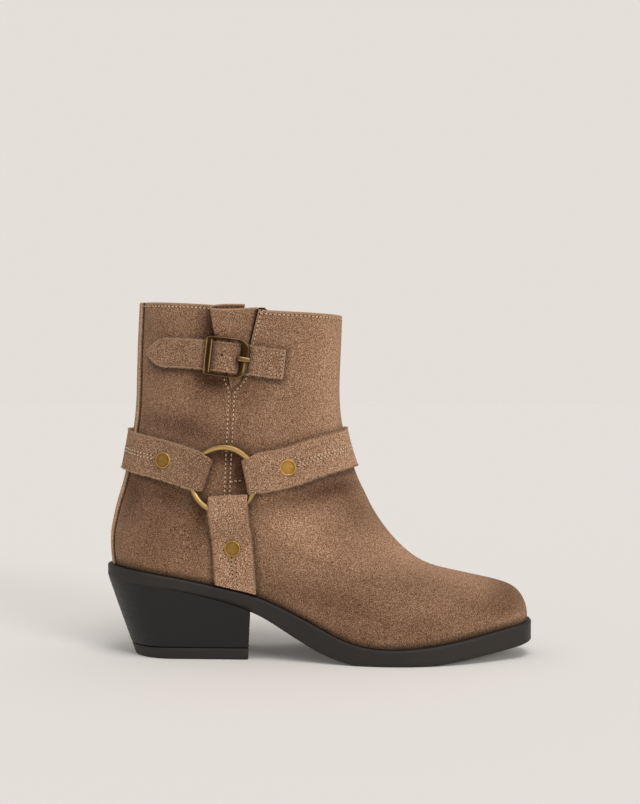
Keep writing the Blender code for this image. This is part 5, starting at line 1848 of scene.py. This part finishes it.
def stitchMesh(rows, form):
    points = []
    faces = []
    sides = form["sides"]
    turns = fullTurn(sides)
    for centres, runs, normals in rows:
        crosses = np.cross(normals, runs)
        for centre, run, normal, cross in zip(centres, runs, normals, crosses):
            first = len(points)
            for t in form["rings"]:
                thick = form["radius"] * math.sqrt(1.0 - (1.0 - form["blunt"]) * t * t)
                height = form["rise"] - form["dip"] * t * t
                middle = centre + run * t * 0.5 * form["length"] + normal * height
                for turn in turns:
                    beside = middle + cross * thick * math.cos(turn)
                    points.append(beside + normal * thick * math.sin(turn))
            for face in gridFaces(len(form["rings"]), sides, wrap=True):
                faces.append([first + corner for corner in face])
            faces.append([first + i for i in range(sides)])
            faces.append([first + (len(form["rings"]) - 1) * sides + i for i in range(sides)])
    return points, faces


# flat dark discs on the face: painted shade of the holes
def holeMesh(rows, radius, sides=8):
    points = []
    faces = []
    facing = []
    turns = fullTurn(sides)
    for places, normals in rows:
        for place, normal in zip(places, normals):
            side = unit(np.cross(normal, stitchForm["askew"]))
            other = np.cross(normal, side)
            first = len(points)
            points.append(place + normal * stitchForm["holeMiddle"])
            for turn in turns:
                out = radius * (side * math.cos(turn) + other * math.sin(turn))
                points.append(place + normal * stitchForm["holeLift"] + out)
            facing += [normal] * (sides + 1)
            faces += [[first, first + 1 + i, first + 1 + (i + 1) % sides] for i in range(sides)]
    return points, faces, facing


def sewRows(name, rows, slot, form=None, yarn=thread):
    form = {**stitchForm, **(form or {})}
    sewn = []
    pricked = []
    for points, normals, phase in rows:
        stitches, holes = resample(points, normals, form["pitch"], phase)
        sewn.append(stitches)
        pricked.append(holes)
    points, faces = stitchMesh(sewn, form)
    addPiece(name, points, faces, yarn, slot)
    points, faces, facing = holeMesh(pricked, form["hole"])
    addPiece(name + "Holes", points, faces, needleHole, slot, facing=facing)


def alongEdge(distance, fromFront):  # row of points at a distance from a panel's edge, from the sole up
    points = []
    normals = []
    for level in range(2, upperForm["levels"]):
        reach = fromRear[level]
        at = reach[-1] - distance if fromFront else distance
        points.append(readAlong(at, reach, upperGrid[level]))
        normals.append(readAlong(at, reach, upperNormals[level]))
    return np.array(points), unit(np.array(normals))


def belowRim(distance):
    points = []
    normals = []
    down = np.linalg.norm(upperGrid - upperGrid[-1:], axis=2)[::-1]
    for c in range(3, upperForm["columns"] - 3):
        points.append(readAlong(distance, down[:, c], upperGrid[::-1, c]))
        normals.append(readAlong(distance, down[:, c], upperNormals[::-1, c]))
    return np.array(points), unit(np.array(normals))


def onStrap(tree, route, places):
    points = [strapFace(tree, route, a, across) for a, across in places]
    normals = [route.frameAt(a)[2] for a, _ in places]
    return np.array(points), np.array(normals)


def doubleRow(tree, route, start, end, apart):
    rows = []
    for side, phase in ((-1, 0.0), (1, 0.5)):
        places = [(a, 0.5 * apart * side) for a in np.arange(start, end, stitchForm["rowStep"])]
        rows.append((*onStrap(tree, route, places), phase))
    return rows


sewForm = {
    "collarInset": 2.2,
    "seamInset": 1.7,
    "cross": (25.6, 35.5, 20),        # short row in the ring, from x to x
    "crossZ": 110.4,
    "crossSlope": 0.12,
    "stay": {"radius": 0.26, "rise": 0.0, "hole": 0.3},
    "strap": {"pitch": 2.6, "length": 1.85, "radius": 0.38, "rise": 0.12},
    "lower": {"pitch": 2.6, "length": 1.85, "radius": 0.3, "rise": 0.0, "hole": 0.5},
    "capClear": 1.0,
    "footClear": 1.5,
    "strapApart": 2.0,
    "lowerApart": 2.4,
    "box": {"pitch": 2.3, "length": 1.5, "radius": 0.34, "hole": 0.36},
    "boxLength": 7.0,
    "boxEndInset": 1.6,
    "boxSideInset": 2.0,
    "boxPoints": (24, 12),            # across, and along
}
sewRows("collarStitches", [(*belowRim(sewForm["collarInset"]), 0.0)], "suede")
seamRows = [(*alongEdge(sewForm["seamInset"], False), 0.0), (*alongEdge(sewForm["seamInset"], True), 0.3)]
sewRows("sideSeamStitches", seamRows, "suede")

upperTree = faceTree(upperPiece)
crossRow = []
for x in np.linspace(*sewForm["cross"]):
    z = sewForm["crossZ"] + sewForm["crossSlope"] * (x - sewForm["cross"][0])
    crossRow.append(castOn(upperTree, (x, -outside, z), (0.0, 1.0, 0.0)))
sewRows("crossStitches", [(*zip(*crossRow), 0.0)], "suede")

stayRows = []
for side in (-1, 1):
    target = side * (stayForm["half"] - stayForm["stitchInset"])
    levels = slice(0, stayForm["levels"])
    points = [readAlong(target, stayOffsets, row) for row in stayGrid[levels]]
    normals = [readAlong(target, stayOffsets, row) for row in stayFacing[levels]]
    stayRows.append((points, normals, 0.0))
sewRows("stayStitches", stayRows, "suede", sewForm["stay"], toneThread)

capReach = rivetForm["radius"] + sewForm["capClear"]
harnessRows = doubleRow(harnessTree, harnessRoute, rivetFrontAt + capReach, rivetBackAt - capReach,
                        sewForm["strapApart"])
sewRows("harnessStitches", harnessRows, "strap_suede", sewForm["strap"])
lowerRows = doubleRow(lowerTree, lowerRoute, rivetLowerAt + capReach, lowerFoot - sewForm["footClear"],
                      sewForm["lowerApart"])
sewRows("lowerStitches", lowerRows, "strap_suede", sewForm["lower"], toneThread)

boxEnd = buckleRoute.length - sewForm["boxEndInset"]
boxStart = boxEnd - sewForm["boxLength"]
boxHalf = buckleForm["half"] - sewForm["boxSideInset"]
boxAcross = np.linspace(-boxHalf, boxHalf, sewForm["boxPoints"][0])
boxAlong = np.linspace(boxStart, boxEnd, sewForm["boxPoints"][1])
boxLines = [[(a, h) for h in boxAcross] for a in (boxStart, boxEnd)]
boxLines += [[(a, h) for a in boxAlong] for h in (-boxHalf, boxHalf)]
boxRows = [(*onStrap(buckleTree, buckleRoute, line), 0.0) for line in boxLines]
sewRows("boxStitches", boxRows, "strap_suede", sewForm["box"], boxThread)
# the spare hole is a dark disc of painted shade
along, across, radius, sides = buckleForm["eyelet"]
eyelet = onStrap(buckleTree, buckleRoute, [(buckleMiddle + along, across)])
points, faces, facing = holeMesh([eyelet], radius, sides)
addPiece("spareHole", points, faces, needleHole, "strap_suede", facing=facing)
print("stitching made")


# Short hairs along the straps' raw edges

fuzzForm = {
    "perMillimetre": 13.0,
    "length": (0.4, 1.6),
    "width": 0.15,
    "inset": (0.05, 0.6),
    "lean": 0.45,
    "outward": 0.25,
    "sink": 0.15,          # the roots lie this deep
    "corners": (0.0, 2.1, 4.2),
    "footClear": 1.0,
    "endClear": 0.5,
    "seed": 38,
}


def makeFuzz(name, bands):
    random = np.random.default_rng(fuzzForm["seed"])
    points = []
    faces = []
    for tree, route, start, end, half in bands:
        count = int((end - start) * fuzzForm["perMillimetre"])
        for side in (-1, 1):
            for a in random.uniform(start, end, count):
                across = side * (half(a) - random.uniform(*fuzzForm["inset"]))
                root = strapFace(tree, route, a, across)
                if root is None:
                    continue
                _, run, normal, cross = route.frameAt(a)
                lean = random.normal(0.0, fuzzForm["lean"], 2)
                way = unit(cross * side + normal * (fuzzForm["outward"] + lean[0]) + run * lean[1])
                length = random.uniform(*fuzzForm["length"])
                first = len(points)
                for turn in fuzzForm["corners"]:
                    out = fuzzForm["width"] * (run * math.cos(turn) + normal * math.sin(turn))
                    points.append(root - fuzzForm["sink"] * way + out)
                points.append(root + way * length)
                corners = (first, first + 1, first + 2)
                faces += [[corners[i - 1], corners[i], first + 3] for i in range(3)]
    addPiece(name, points, faces, strapSuede, "strap_suede",
             masks={"edge": np.ones(len(points)), "shade": np.zeros(len(points))})


reach = harnessForm["foldReach"]
clear = fuzzForm["endClear"]
makeFuzz("strapHairs", (
    (harnessTree, harnessRoute, reach, harnessRoute.length - reach, harnessHalf),
    (lowerTree, lowerRoute, reach, lowerFoot - fuzzForm["footClear"], lowerHalf),
    (buckleTree, buckleRoute, clear, buckleRoute.length - clear, buckleHalf),
))
print("strap hairs made")


# Floor, light and camera

stageForm = {
    "backdrop": colourOf(228, 223, 217),
    "floor": (0.76, 0.745, 0.725, 1.0),
    "glow": 0.09,                           # the floor gives off a little light itself
    "floorSize": 60.0,
    "skyLow": (0.5, 0.484, 0.465, 1.0),     # light from the horizon and from overhead
    "skyHigh": (0.53, 0.512, 0.49, 1.0),
    "skyRise": 0.9,
    # name, where it shines from, strength, angle of its disc, colour
    "lights": (
        ("softKey", (0.75, -1.0, 0.5), 0.8, 18.0, (1.0, 0.975, 0.94)),
        ("softTop", (0.14, -0.42, 1.0), 1.1, 28.0, (1.0, 0.985, 0.96)),
    ),
}


def makeSky():  # the camera sees the plain backdrop, the boot a soft overhead light
    world = bpy.data.worlds.new("studio")
    world.use_nodes = True
    tree = world.node_tree
    seen = tree.nodes["Background"]
    seen.inputs["Color"].default_value = stageForm["backdrop"]
    way = addNode(tree, "ShaderNodeTexCoord").outputs["Generated"]
    height = addNode(tree, "ShaderNodeSeparateXYZ", {0: way}).outputs["Z"]
    rise = addNode(tree, "ShaderNodeMapRange", {
        "Value": height, "From Min": 0.0, "From Max": stageForm["skyRise"]})
    soft = addNode(tree, "ShaderNodeBackground", {
        "Color": mixColours(tree, rise.outputs[0], stageForm["skyLow"], stageForm["skyHigh"])})
    ray = addNode(tree, "ShaderNodeLightPath")
    mix = addNode(tree, "ShaderNodeMixShader", {
        0: ray.outputs["Is Camera Ray"], 1: soft.outputs[0], 2: seen.outputs[0]})
    tree.links.new(mix.outputs[0], tree.nodes["World Output"].inputs["Surface"])
    return world


def makeStage():
    scene = bpy.context.scene
    scene.view_settings.view_transform = "Standard"
    scene.world = makeSky()
    half = stageForm["floorSize"]
    mesh = bpy.data.meshes.new("studioFloor")
    corners = [(-half, -half, 0.0), (half, -half, 0.0), (half, half, 0.0), (-half, half, 0.0)]
    mesh.from_pydata(corners, [], [(0, 1, 2, 3)])
    floor = bpy.data.objects.new("studioFloor", mesh)
    scene.collection.objects.link(floor)
    material, _, _ = newMaterial("paleFloor", {
        "Roughness": 1.0, "Specular IOR Level": 0.0, "Base Color": stageForm["floor"],
        "Emission Color": stageForm["backdrop"], "Emission Strength": stageForm["glow"]})
    mesh.materials.append(material)
    for name, shinesFrom, strength, angle, colour in stageForm["lights"]:
        light = bpy.data.lights.new(name, "SUN")
        light.energy = strength
        light.angle = math.radians(angle)
        light.color = colour
        lamp = bpy.data.objects.new(name, light)
        lamp.rotation_euler = Vector(shinesFrom).to_track_quat("Z", "Y").to_euler()
        scene.collection.objects.link(lamp)


cameraForm = {
    "place": (81.3, -850.0, 159.3),   # level, square to the boot's outer side
    "focalPixels": 1328.1,            # the photograph is 804 pixels high
    "photoHeight": 804.0,
    "sensor": 36.0,
    "clipEnd": 200.0,                 # in metres
}


def makeCamera():
    data = bpy.data.cameras.new("photoCamera")
    data.sensor_width = cameraForm["sensor"]
    data.lens = cameraForm["focalPixels"] * cameraForm["sensor"] / cameraForm["photoHeight"]
    data.clip_end = cameraForm["clipEnd"]
    camera = bpy.data.objects.new("photoCamera", data)
    camera.location = [value * mm for value in cameraForm["place"]]
    camera.rotation_euler = (math.radians(90.0), 0.0, 0.0)
    bpy.context.scene.collection.objects.link(camera)
    bpy.context.scene.camera = camera


makeStage()
makeCamera()
print("stage and camera set")
